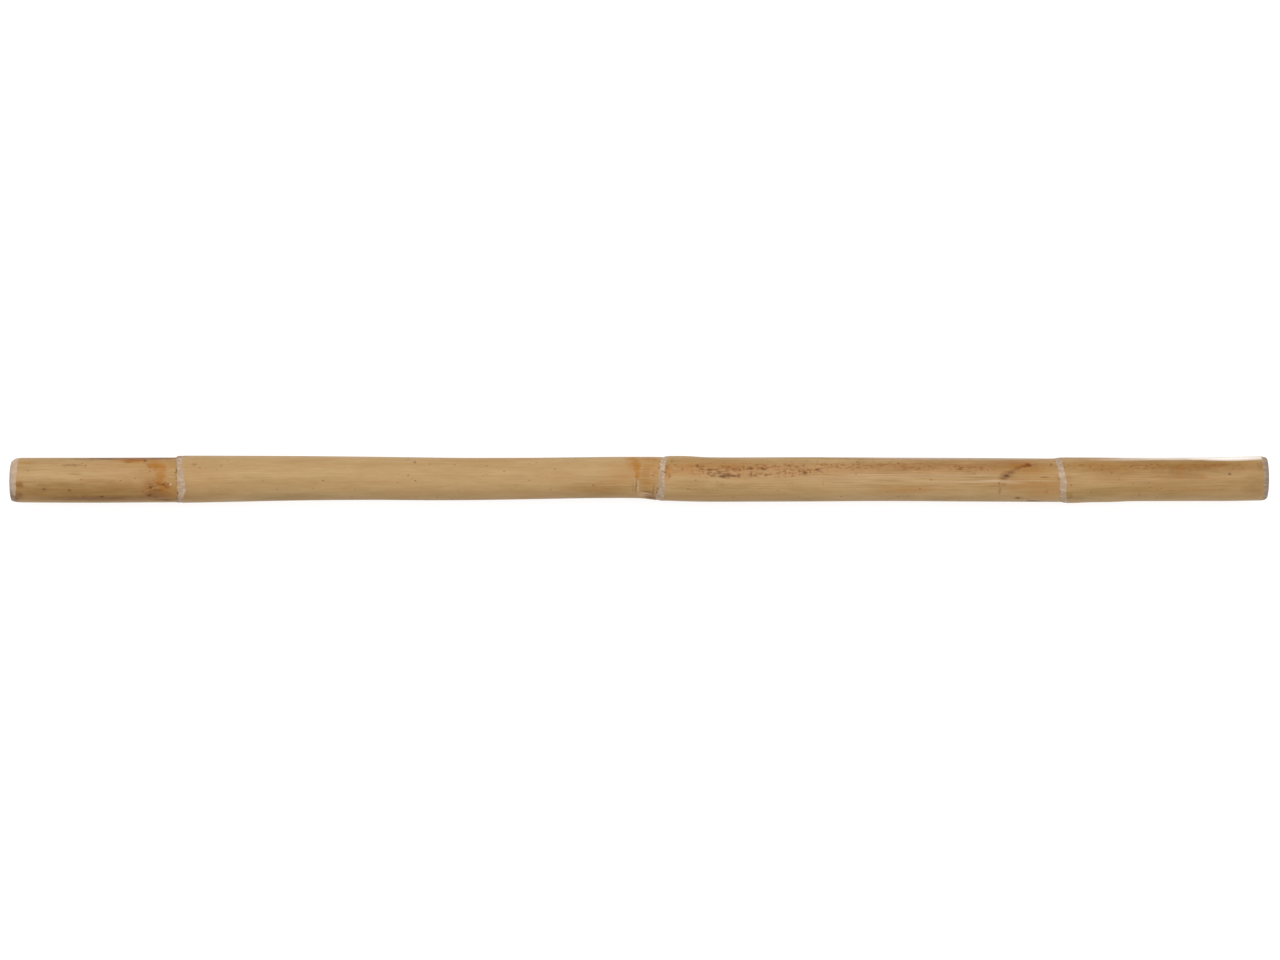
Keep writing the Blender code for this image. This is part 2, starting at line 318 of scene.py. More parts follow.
        (297.5, 12.4, 27, 0.8, 0.6), (336.9, 12, 18, 1, 1), (320, 12.2, 14.6, 0.9, 0.75),
        (275, 11, 18, 0.4, 0.4), (177.7, 12.2, 50.6, 0.7, 0.35),
    ),
    # Dark specks, cracks and scratches.
    "speck": (
        (-335, -5.7, 0.5, 0.3, 0.6), (-320.9, -6.3, 0.5, 0.4, 0.6), (-302.5, -9.9, 0.7, 0.5, 0.49),
        (-313.2, -10.1, 1.1, 0.3, 0.35), (-322.5, 8.2, 2.3, 0.28, 0.45), (-318.5, 8.4, 0.7, 0.5, 0.4),
        (-317.4, 2.9, 2.3, 0.2, 0.4), (-275.2, -4.4, 0.7, 0.4, 0.46), (-276.4, -9.3, 1, 0.6, 0.46),
        (-272.9, -10, 0.7, 0.3, 0.35), (-269, -3, 0.5, 0.3, 0.38), (-278.8, 10.6, 0.5, 0.7, 0.38),
        (-260.9, 4.4, 0.4, 0.5, 0.88), (-260.9, 0.5, 0.4, 0.5, 0.88), (-260.9, -1.8, 0.4, 0.5, 0.75),
        (-260.8, -11, 0.5, 0.5, 1), (-251.3, 8.4, 1.1, 0.6, 0.45), (-250.2, 8.5, 0.6, 0.4, 0.35),
        (-256.3, 6.8, 0.3, 0.3, 0.4), (-235.3, 7.9, 0.9, 0.5, 0.4), (-240.6, -6.4, 2.3, 0.28, 0.2),
        (-235.3, -6.5, 0.5, 0.4, 0.35), (-177, 8.4, 0.8, 0.3, 0.25), (-126.5, 9.7, 0.6, 0.5, 0.75),
        (-131.5, 11.1, 1, 0.3, 0.4), (-47.5, 5.8, 0.6, 0.5, 0.4), (-69.3, -3.7, 1.4, 0.7, 0.2),
        (-56.6, -4.2, 0.5, 0.4, 0.25), (-91.2, -8.3, 1.5, 0.28, 0.25), (-42.8, -6.2, 1.7, 0.3, 0.2),
        (-190.8, 7.6, 0.6, 0.3, 0.2), (-1.1, -4.5, 0.3, 3.7, 0.45), (-2.9, -4.8, 0.3, 3.4, 0.35),
        (6.1, -7.1, 2.8, 0.25, 0.55), (9.4, -7.6, 0.3, 2.3, 0.45), (14, 4, 0.7, 0.4, 0.45),
        (15.4, 7.2, 0.4, 1, 0.4), (18, 1.4, 0.4, 0.4, 0.5), (17.9, 10.3, 0.3, 0.7, 0.4),
        (24.4, 5.8, 0.7, 0.6, 0.45), (27.1, 5.7, 0.4, 0.5, 0.25), (20.7, 7.3, 0.8, 0.4, 0.2),
        (32.9, 7.6, 0.8, 0.8, 0.65), (35.2, 8.1, 0.3, 1.2, 0.4), (36.3, 7.6, 0.3, 1, 0.4),
        (35.1, 6, 1, 0.5, 0.56), (39.6, 5.4, 1.4, 0.6, 0.65), (43.2, 5.6, 1.4, 0.5, 0.5),
        (39, 3.4, 0.9, 0.7, 0.56), (41.5, 2.1, 1.7, 0.6, 0.6), (45.2, 3.7, 1.2, 0.9, 0.65),
        (47.2, 1.8, 2.1, 0.7, 0.81), (50.3, 2.4, 1.6, 0.9, 0.76), (53.4, 2, 2.3, 0.5, 0.71),
        (56.1, 2.2, 0.6, 1, 0.65), (49.4, 6.2, 1, 0.6, 0.5), (55.6, 6.1, 0.8, 1, 0.35),
        (62.5, 6.4, 1.4, 0.8, 0.6), (66.5, 7.9, 0.9, 0.5, 0.3), (70.1, 5.8, 1.3, 0.6, 0.71),
        (63.1, 3, 0.5, 1.2, 0.6), (65.5, 2.2, 1.2, 0.6, 0.45), (71.4, 2.4, 1.2, 0.6, 0.6),
        (73.6, 2.5, 1, 0.3, 0.4), (76.7, 8, 0.6, 0.6, 0.4), (78.4, 3.4, 1.3, 0.5, 0.45),
        (78.7, 2.5, 0.3, 0.7, 0.4), (84.6, 7.7, 1.2, 0.6, 0.5), (92.7, 7.9, 0.8, 0.8, 0.45),
        (93.3, 3.8, 1.2, 0.6, 0.81), (92.7, 5.7, 1.6, 1, 0.3), (100.5, 5.5, 1, 0.6, 0.76),
        (94.4, 10.2, 1, 0.4, 0.3), (100.6, 10.2, 0.6, 0.5, 0.35), (87.1, 5.1, 0.8, 0.5, 0.3),
        (108.8, 7.6, 0.8, 0.6, 0.4), (103.7, -2.3, 0.2, 1, 0.45), (101.5, -10.7, 0.8, 0.28, 0.35),
        (103.5, -10.7, 0.3, 0.3, 0.35), (111.6, 7.3, 0.6, 0.6, 0.5), (36.5, -3.4, 0.6, 0.5, 0.2),
        (46.6, -3.2, 0.4, 0.7, 0.3), (110.2, 0, 15.8, 0.2, 0.3), (123.1, 9.9, 0.8, 0.5, 0.5),
        (131, 7.1, 0.9, 0.5, 0.45), (138.9, 8.5, 1.2, 0.4, 0.45), (146.2, 9, 0.6, 0.6, 0.35),
        (155.8, 5.9, 0.9, 0.4, 0.35), (163.6, 7.4, 1.2, 0.5, 0.35), (180.8, 6.2, 1.2, 0.8, 0.45),
        (185.9, 6.5, 0.9, 0.8, 0.35), (188.7, 3.2, 0.8, 0.4, 0.4), (190.6, 1.2, 7.9, 0.2, 0.4),
        (206.8, 2, 1.2, 0.6, 0.75), (205.8, 0.4, 1.7, 0.7, 0.45), (208.6, 3.7, 0.9, 0.4, 0.4),
        (207, 1.2, 4.5, 0.2, 0.4), (203.1, -6.8, 0.5, 1.2, 0.3), (202.6, -2.5, 0.3, 0.7, 0.4),
        (213.4, -10.6, 1.1, 0.5, 0.45), (221.6, -12.4, 3.4, 0.3, 0.6), (227.7, 1.2, 2, 0.23, 0.75),
        (233, 8.4, 0.6, 0.5, 0.45), (241.3, 1, 1.8, 0.2, 0.4), (219.9, 8, 0.8, 0.3, 0.4),
        (249.7, 8.1, 1.6, 0.5, 0.4), (264.9, 7.4, 1.1, 0.3, 0.25), (277.2, 7.4, 0.9, 0.5, 0.5),
        (275, 7.2, 2.3, 0.28, 0.3), (286.1, 7.4, 0.7, 0.5, 0.45), (287.1, -1.9, 0.5, 0.4, 0.4),
        (256.5, 8.5, 0.7, 0.3, 0.3), (269.4, 6.4, 0.8, 0.28, 0.3), (332.4, 3, 0.7, 0.5, 0.72),
        (329.9, 8.4, 2.3, 0.28, 0.42), (332.8, 3.2, 0.4, 0.5, 0.36), (298.7, 5.4, 0.8, 0.28, 0.2),
        (299.8, -8.2, 2.3, 0.28, 0.2), (315.5, -4.8, 1.7, 0.23, 0.2),
    ),
    # Stretches that are freckled all over.
    "freckled": (
        (65.2, 5.4, 41.6, 3.7, 1), (47.7, 4.2, 13.5, 3.4, 1), (135.5, 7.6, 50.6, 2.5, 0.8),
        (186.1, 6.5, 16.9, 2.3, 0.75), (287.4, 7.1, 47.3, 2.1, 0.7), (-318, 7.6, 9, 1.2, 0.5),
        (-271.8, -5.4, 6.8, 5.1, 0.7), (-275.2, 7.6, 6.8, 3.4, 0.4), (-317.4, 3.1, 6.8, 0.7, 0.4),
        (17.4, 4.8, 2.8, 4, 0.5), (-22, -4.2, 14.6, 2.3, 0.3), (39.9, -5.4, 10.1, 1.7, 0.25),
        (259.3, 5.4, 10.1, 1.7, 0.3),
    ),
}


# What each kind of mark is like: where it ends, in half sizes, how ragged it is, in millimetres, the pattern
# that breaks it up, how its colour is laid on, and how many more of it the hidden sides have.
MARK_KINDS = {
    "lined": {"reach": 1.6, "ragged_mm": 1.6, "pattern": "thin_lines", "blend": "MULTIPLY", "hidden": 4},
    "shade": {"reach": 1.6, "ragged_mm": 1.6, "pattern": "even", "blend": "MULTIPLY", "hidden": 4},
    "moss": {"reach": 1.6, "ragged_mm": 1.6, "pattern": "strands", "blend": "MULTIPLY", "hidden": 5},
    "blush": {"reach": 1.6, "ragged_mm": 1.6, "pattern": "strands", "blend": "MULTIPLY", "hidden": 5},
    "rust": {"reach": 1.75, "ragged_mm": 0.7, "pattern": "strands", "blend": "MIX", "hidden": 8},
    "pale": {"reach": 1.5, "ragged_mm": 0.35, "pattern": "streaks", "blend": "MIX", "hidden": 6},
    # The painted highlight along the top edge.
    "bloom": {"reach": 1.5, "ragged_mm": 0.35, "pattern": "strands", "blend": "MIX", "hidden": 0},
    "freckled": {"reach": 1.4, "ragged_mm": 1.6, "pattern": "clumps", "blend": "MIX", "hidden": 3},
    "speck": {"reach": 1.8, "ragged_mm": 0.2, "pattern": "fibres", "blend": "MIX", "hidden": 30},
    "grime": {"reach": 1.6, "ragged_mm": 0.7, "pattern": "blots", "blend": "MULTIPLY", "hidden": 16},
    "tarnish": {"reach": 1.5, "ragged_mm": 0.7, "pattern": "blots", "blend": "MIX", "hidden": 0},
}

# Marks are placed by how the stem looks from above. What is nearer its outline than this share of its half
# width is drawn there, and is widened round the stem by so much at most.
OUTLINE_SHARE = 0.96
MOST_WIDENED = 2.5

# More marks on the sides that are turned away: how far round from the top, in degrees either way, how far
# from the middle, in millimetres, and their share of the strength of the marks on top.
HIDDEN_TURNS = (105, 162)
HIDDEN_REACH = 335
HIDDEN_STRENGTH = 0.8
HIDDEN_SEED = 40

# How the ragged edge of a mark is drawn, in multiples of its size: how long and wide its waves are, and how
# far they push the edge along the stem and round it.
RAGGED_WAVE = (3.2, 1.5, 1.5)
RAGGED_PUSH = (6, 3, 0)

# Dimples in the skin, in millimetres: place along and across as for the marks, half length, half width and
# depth. They are the hollow under the long scar, the crease and the sheath scar by the middle node, the knot,
# and the chip and the nick in the lower edge. DIMPLE_EDGE is where they end, as the square of half sizes.
DIMPLE_EDGE = 1.3
DIMPLES = (
    (-214, -11.6, 16, 4.0, 0.16),
    (-194, -10.6, 18, 3.0, 0.22),
    (-1.4, -4.5, 0.8, 3.8, 0.1),
    (0.9, 0.0, 0.7, 16.0, 0.07),
    (5.2, -9.4, 4.4, 2.0, 0.13),
    (205.6, 1.2, 3.2, 2.0, 0.14),
    (218.6, -12.3, 1.0, 2.0, 0.18),
    (214.2, -10.8, 1.8, 1.2, 0.12),
)

# The patterns in the skin and the bare wood: their size along X, Y and Z of the straight stem, in
# millimetres, and their detail. Real skin fibres are about 0.2 mm wide, and sanding and the saw leave marks
# of about that width. All of these are too fine to show in the render, so fibre, bundle, grit and sawn are
# drawn as coarse as they need to show.
PATTERNS = {
    "fibre": ((24, 0.55, 0.55), 1.0),
    "bundle": ((60, 1.1, 1.1), 2.0),
    "band": ((170, 4.5, 4.5), 2.0),
    "cloud": ((26, 6.5, 6.5), 3.0),
    "cast": ((34, 8.0, 8.0), 3.0),
    "clump": ((9, 2.6, 2.6), 2.0),
    "fleck": ((5, 1.6, 1.6), 3.0),
    "mottle": ((2.6, 1.0, 1.0), 3.0),
    "grain": ((7, 1.0, 1.0), 3.0),
    "grit": ((0.9, 0.6, 0.6), 3.0),
    "blotch": ((3.0, 2.2, 2.2), 2.0),
    "sawn": ((60, 0.6, 16), 2.0),
}

# Shares that the material reads from the patterns: the pattern, where in its range the share starts and ends,
# and the shares there.
SHARES = {
    "cloudy": ("cloud", 0.35, 0.72, 0.0, 1.0),
    "reddish": ("cast", 0.52, 0.75, 0.0, 1.0),
    "greenish": ("cast", 0.48, 0.28, 0.0, 1.0),
    "even": ("cloud", 0.30, 0.60, 0.8, 1.0),
    "strands": ("bundle", 0.30, 0.62, 0.6, 1.0),
    "blots": ("fleck", 0.34, 0.60, 0.6, 1.0),
    "streaks": ("bundle", 0.42, 0.60, 0.25, 1.0),
    "fibres": ("fibre", 0.25, 0.60, 0.7, 1.0),
    "clumps": ("clump", 0.36, 0.56, 0.3, 1.0),
    "mottled": ("mottle", 0.48, 0.62, 0.0, 1.0),
    "grainy": ("grain", 0.36, 0.62, 0.0, 1.0),
    "thin_lines": ("fibre", 0.40, 0.66, 0.0, 1.0),
    "wide_lines": ("bundle", 0.40, 0.68, 0.0, 1.0),
    "bands": ("band", 0.36, 0.68, 0.0, 1.0),
    "wood_grit": ("grit", 0.56, 0.74, 0.0, 1.0),
    "wood_blotch": ("blotch", 0.42, 0.66, 0.0, 1.0),
    "broken": ("blotch", 0.34, 0.58, 0.3, 1.0),
    "saw_marks": ("sawn", 0.44, 0.66, 0.0, 1.0),
}

# Freckles: their spacing along X, Y and Z in millimetres, where a dot ends and where it is full in its cell,
# and the share of cells that have a dot: so many more where the skin is freckled, and the strays everywhere.
FRECKLE_SIZES = (2.0, 1.1, 1.1)
FRECKLE_END = 0.5
FRECKLE_FULL = 0.12
FRECKLED_CELLS = 0.75
STRAY_CELLS = 0.022

# Bare wood: where it starts and is fully bare, in millimetres inside a trimmed band and inside a bevel, how
# far its grit moves that edge, and the radii, in millimetres, between which a sawn face turns to the denser
# wood of its rim.
BARE_EDGES = {"ring": (-0.08, 0.12), "sanded": (-0.15, 0.25)}
BARE_JITTER = 0.5 * MM
RIM_WOOD = (7.5, 11.0)

# One cut vessel bundle, 1 wide and 1 high: the radius and height of each ring of its points, and 1 where the
# ring is the open vessel.
BUNDLE_RINGS = ((0.50, -0.5, 0.0), (0.43, 0.8, 0.0), (0.34, 1.0, 0.0), (0.24, 0.3, 1.0))
BUNDLE_SIDES = 8

# How the bundles are spread over a sawn face: a spiral of even turns whose radius grows by this power, out to
# this share of the rim, each bundle off its place by up to the jitter. The sizes are shares of the width that
# the settings give. Bundles are dropped on to a face from beyond it, and scars on to a node from outside.
SPIRAL_TURN = math.pi * (3 - math.sqrt(5))
SPIRAL_POWER = 0.47
SPIRAL_SHARE = 0.985
BUNDLE_JITTER = 0.3 * MM
BUNDLE_SIZES = (0.75, 1.2)
SCAR_SIZES = (0.6, 1.3)
DROP_BEYOND = 2 * MM
DROP_OUTSIDE = 20 * MM
DROP_REACH = 30 * MM

# How the stem is laid out flat for a texture, in millimetres: three lengths of it one above the other, with
# its two sawn faces beside them, on a square sheet. The bundles of the two ends, and the scars of the three
# nodes, each have a sheet of their own.
SHEET_SIDE = 272
SHEET_STRIP = 82
SHEET_MARGIN = 2
FACE_U = SHEET_SIDE - 14.5
FACE_V = (20.0, 60.0)
END_SHEET = 56
SCAR_SHEET = 84
SCAR_STRIP = 24
SCAR_MARGIN = 10

# The stage, in metres: the side of the floor, and the size, place and tilt of the soft light behind the cane.
FLOOR_SIDE = 12.0
KEY_SIZE = (2.4, 0.8)
KEY_PLACE = (0, 1.1, 1.6)
KEY_TILT = math.radians(-34)

# The camera looks straight down, as the photograph does. Its lens and sensor are in millimetres.
CAMERA_PLACE = (0.00048, -0.0004, 2.6126)
LENS = 129.3
SENSOR = 36.0
VIEW_REACH = 20.0


def linear(colour):
    """An sRGB colour such as "#b48f62" as linear red, green, blue and alpha."""
    shares = [int(colour[i : i + 2], 16) / 255 for i in (1, 3, 5)]
    return tuple(s / 12.92 if s <= 0.04045 else ((s + 0.055) / 1.055) ** 2.4 for s in shares) + (1.0,)


def length_property(name, description, millimetres):
    """A setting that is a length, with its default in millimetres."""
    return bpy.props.FloatProperty(
        name=name, description=description, default=millimetres * MM, unit="LENGTH", precision=5
    )


def colour_property(name, description, colour):
    """A setting that is a colour, with its default in sRGB."""
    return bpy.props.FloatVectorProperty(
        name=name, description=description, default=linear(colour), subtype="COLOR", size=4, min=0, max=1
    )


class StemSettings(bpy.types.PropertyGroup):
    """Sizes of the stem and of what is cut into it."""

    sides: bpy.props.IntProperty(name="Sides", description="Faces round the stem", default=228, min=24)
    node_row: length_property("Row at a node", "How far apart the mesh rows stand at a node", 0.36)
    long_row: length_property("Row between nodes", "How far apart the mesh rows stand elsewhere", 3.5)
    grain_depth: length_property("Grain depth", "How deep the fine lengthwise furrows are", 0.07)
    grain_width: length_property("Grain width", "The spacing of the furrows round the stem", 1.7)
    swell_depth: length_property("Swell depth", "How uneven the grown surface is", 0.14)
    groove_depth: length_property("Groove depth", "The cut at the lower edge of a trimmed node", 0.26)
    skin_thickness: length_property("Skin thickness", "How far a trimmed node lies below the skin", 0.12)


class EndSettings(bpy.types.PropertyGroup):
    """The vessel bundles that show on the sawn ends, and their scars round the nodes."""

    bundles: bpy.props.IntProperty(
        name="Bundles", description="Vessel bundles on each end", default=620, min=1
    )
    bundle_width: length_property("Bundle width", "The width of the fibre round a vessel", 0.56)
    bundle_height: length_property("Bundle height", "How proud sanding leaves the hard fibre", 0.03)
    scars: bpy.props.IntProperty(name="Scars", description="Bundle scars round each node", default=26, min=1)
    scar_width: length_property("Scar width", "The width of a bundle scar", 0.5)
    seed: bpy.props.IntProperty(name="Seed", description="Start of the random draws", default=7)


class FinishSettings(bpy.types.PropertyGroup):
    """Colours of the skin, the wood and their markings."""

    straw: colour_property("Straw", "The lightest skin", "#9e8259")
    honey: colour_property("Honey", "The skin where it is darker", "#937349")
    lined: colour_property("Line", "Tint of the lengthwise lines", "#d2c5ae")
    # This tint also paints the shade along the stem's outline.
    shade: colour_property("Shade", "Tint of the browner skin of the weathered sides", "#d4c29b")
    # This tint also paints the shade low on the second internode's -Y side.
    moss: colour_property("Moss and shade", "Tint of the skin that stayed in the shade", "#dce0c4")
    blush: colour_property("Blush", "Tint of dry, pinkish skin", "#fdeee6")
    rust: colour_property("Rust", "Sap stains under a leaf sheath", "#8b5811")
    grime: colour_property("Grime", "Tint of brown grime", "#a68052")
    # This colour also makes the lower side of the left bevel greyer.
    tarnish: colour_property("Tarnish", "Bare wood that is grey with age", "#75685a")
    speck: colour_property("Speck", "Dark specks and scratches", "#4e2c09")
    freckled: colour_property("Freckle", "Freckles", "#76481c")
    # This colour also paints the highlight streaks along the middle of the third internode.
    pale: colour_property("Pale", "Skin that is worn thin in streaks", "#ad9375")
    # This colour is a painted highlight along the top edge, mostly near the right end.
    bloom: colour_property("Painted highlight", "White silica bloom on an edge", "#e0dad4")
    wood: colour_property("Sanded wood", "Bare wood of the trimmed nodes and bevels", "#947e67")
    pale_wood: colour_property("Pale wood", "The palest bare wood", "#a8937e")
    fibre: colour_property("Fibre", "Hard fibre round the vessels on a sawn end", "#7d5f40")
    vessel: colour_property("Vessel", "The open vessels", "#2f2117")
    roughness: bpy.props.FloatProperty(
        name="Skin roughness", description="How matt the silica skin is", default=0.5, min=0, max=1,
        subtype="FACTOR",
    )


class StageSettings(bpy.types.PropertyGroup):
    """The floor, the lights and the camera."""

    floor: colour_property("Floor", "The pale table that the cane lies on", "#9a9a9a")
    glow: bpy.props.FloatProperty(
        name="Glow", description="Light of the table itself, which softens the shadow", default=0.72, min=0
    )
    zenith: bpy.props.FloatProperty(
        name="Zenith", description="Light from straight above", default=1.5, min=0
    )
    horizon: bpy.props.FloatProperty(
        name="Horizon", description="Light from the horizon", default=0.6, min=0
    )
    key: bpy.props.FloatProperty(
        name="Key", description="Power of the key light", default=21.0, min=0, unit="POWER"
    )


def add(tree, kind, links=None, **settings):
    """Adds a node. links gives its shown inputs, by name or number, a value or another node or its output."""
    node = tree.nodes.new(kind)
    for name, value in settings.items():
        setattr(node, name, value)
    shown = [socket for socket in node.inputs if socket.enabled]
    for key, value in (links or {}).items():
        socket = shown[key] if isinstance(key, int) else next(s for s in shown if s.name == key)
        if isinstance(value, bpy.types.Node):
            value = next(output for output in value.outputs if output.enabled)
        if isinstance(value, bpy.types.NodeSocket):
            tree.links.new(value, socket)
        else:
            socket.default_value = value
    return node


def new_tree(name, kind, inputs, output):
    """(a tree with these inputs and this output, each a name and what it holds; its inputs' sockets)."""
    tree = bpy.data.node_groups.new(name, kind)
    for socket, holds in inputs.items():
        tree.interface.new_socket(socket, in_out="INPUT", socket_type=f"NodeSocket{holds}")
    tree.interface.new_socket(output[0], in_out="OUTPUT", socket_type=f"NodeSocket{output[1]}")
    return tree, add(tree, "NodeGroupInput").outputs


def new_material(name):
    """(a material, its empty tree)."""
    material = bpy.data.materials.new(name)
    material.use_nodes = True
    material.node_tree.nodes.clear()
    return material, material.node_tree


def ease(t):
    """0 before t is 0, 1 after t is 1, and smooth between them."""
    t = np.clip(t, 0.0, 1.0)
    return t * t * (3 - 2 * t)


def slope(rows, i, column):
    """The slope at row i of a smooth line through the rows."""
    before = rows[max(i - 1, 0)]
    after = rows[min(i + 1, len(rows) - 1)]
    return (after[column] - before[column]) / (after[0] - before[0])


def read_rows(rows, x, column):
    """A column of rows in millimetres at x in metres, on a smooth line that runs level past both ends."""
    at = min(max(x / MM, rows[0][0]), rows[-1][0])
    i = 0
    while i < len(rows) - 2 and at > rows[i + 1][0]:
        i += 1
    run = rows[i + 1][0] - rows[i][0]
    t = (at - rows[i][0]) / run
    value = (
        (1 + 2 * t) * (1 - t) ** 2 * rows[i][column]
        + t * (1 - t) ** 2 * run * slope(rows, i, column)
        + t * t * (3 - 2 * t) * rows[i + 1][column]
        + t * t * (t - 1) * run * slope(rows, i + 1, column)
    )
    return value * MM


def read_stem(x, column):
    """A column of INTERNODES at x, stepping from one internode's value to the next one's at each node."""
    value = read_rows(INTERNODES[0], x, column)
    for node, beyond in zip(NODES, INTERNODES[1:]):
        past = float(ease((x - node["place"]) / node["step_run"] + 0.5))
        value += past * (read_rows(beyond, x, column) - value)
    return value


@functools.cache
def side_shift():
    """How far the bowed stem is moved sideways to stand centred, as the solid does."""
    steps = round(2 * HALF_LENGTH / SHIFT_STEP)
    places = np.linspace(-HALF_LENGTH, HALF_LENGTH, steps + 1)
    widest = max(read_stem(x, 1) + read_stem(x, 2) / 2 for x in places)
    return HALF_WIDTH - widest


def stem_axis(x):
    """(how far sideways, how high) the stem's axis is at x."""
    return read_stem(x, 1) + side_shift(), read_rows(AXIS_HEIGHT, x, 1)


def even_places(start, end, longest):
    """The places that split start to end into equal steps no longer than longest, without end."""
    steps = math.ceil((end - start) / longest)
    return [start + (end - start) * i / steps for i in range(steps)]


def end_rows(bevel, end):
    """(place, half width, share of the bevel, share of the face) of one end's rows, from its pole inwards."""
    rim_place = HALF_LENGTH - FACE_INSET - FACE_DOME
    rim = read_stem(end * rim_place, 2) / 2 - bevel["inward"]
    rows = []
    for i in range(FACE_ROWS):
        out = i / FACE_ROWS
        rows.append((end * (rim_place + FACE_DOME * (1 - out * out)), rim * out, 1.0, 1.0))
    for i in range(BEVEL_ROWS + 1):
        turn = i / BEVEL_ROWS * math.pi / 2
        place = end * (rim_place - bevel["along"] * (1 - math.cos(turn)))
        share = 1 - math.sin(turn)
        rows.append((place, read_stem(place, 2) / 2 - share * bevel["inward"], share, 0.0))
    return rows


def spine_rows(settings):
    """All rows of the stem from its left pole to its right one, as end_rows gives them."""
    left = end_rows(LEFT_BEVEL, -1)
    right = end_rows(RIGHT_BEVEL, 1)
    fine = [(n["place"] - NODE_SPAN, n["place"] + NODE_SPAN, settings.node_row) for n in NODES]
    places = []
    at = left[-1][0]
    for start, end, step in sorted(fine + list(FINE_STRETCHES)):
        places += even_places(at, max(start, at), settings.long_row)
        places += even_places(max(start, at), end, step)
        at = end
    places += even_places(at, right[-1][0], settings.long_row)
    middle = [(x, read_stem(x, 2) / 2, 0.0, 0.0) for x in places[1:]]
    return left + middle + right[::-1]


def make_spine(settings):
    """A line of points along X that carries what the stem needs to know at each of its rows."""
    rows = spine_rows(settings)
    mesh = bpy.data.meshes.new("spine")
    mesh.from_pydata([(row[0], 0, 0) for row in rows], [(i, i + 1) for i in range(len(rows) - 1)], [])
    columns = {"half_width": [], "sideways": [], "height": [], "face": [], "run": []}
    run = 0.0
    last = rows[0]
    for row in rows:
        place, half_width, share, face = row
        bevel = LEFT_BEVEL if place < 0 else RIGHT_BEVEL
        run += math.hypot(place - last[0], half_width - last[1])
        last = row
        sideways, height = stem_axis(place)
        columns["half_width"].append(half_width)
        columns["sideways"].append(sideways + share * bevel["face_shift"])
        columns["height"].append(height)
        columns["face"].append(face)
        columns["run"].append(run)
    for name, values in columns.items():
        mesh.attributes.new(name, "FLOAT", "POINT").data.foreach_set("value", values)
    spine = bpy.data.objects.new("cane_skin", mesh)
    bpy.context.scene.collection.objects.link(spine)
    return spine


def oblique_node_tree():
    """How far a point of the straight stem moves along it because one node's ring is oblique."""
    inputs = dict.fromkeys(("Along", "Side", "Up", "Place", "Lean side", "Lean top", "Reach"), "Float")
    tree, given = new_tree("oblique_node", "GeometryNodeTree", inputs, ("Lean", "Float"))
    away = add(tree, "ShaderNodeMath", {0: given["Along"], 1: given["Place"]}, operation="SUBTRACT")
    share = add(tree, "ShaderNodeMath", {0: away, 1: given["Reach"]}, operation="DIVIDE")
    square = add(tree, "ShaderNodeMath", {0: share, 1: share}, operation="MULTIPLY")
    left = add(tree, "ShaderNodeMath", {0: 1.0, 1: square}, operation="SUBTRACT", use_clamp=True)
    fade = add(tree, "ShaderNodeMath", {0: left, 1: left}, operation="MULTIPLY")
    side = add(tree, "ShaderNodeMath", {0: given["Lean side"], 1: given["Side"]}, operation="MULTIPLY")
    both = add(
        tree, "ShaderNodeMath", {0: given["Lean top"], 1: given["Up"], 2: side}, operation="MULTIPLY_ADD"
    )
    lean = add(tree, "ShaderNodeMath", {0: both, 1: fade}, operation="MULTIPLY")
    add(tree, "NodeGroupOutput", {"Lean": lean})
    return tree


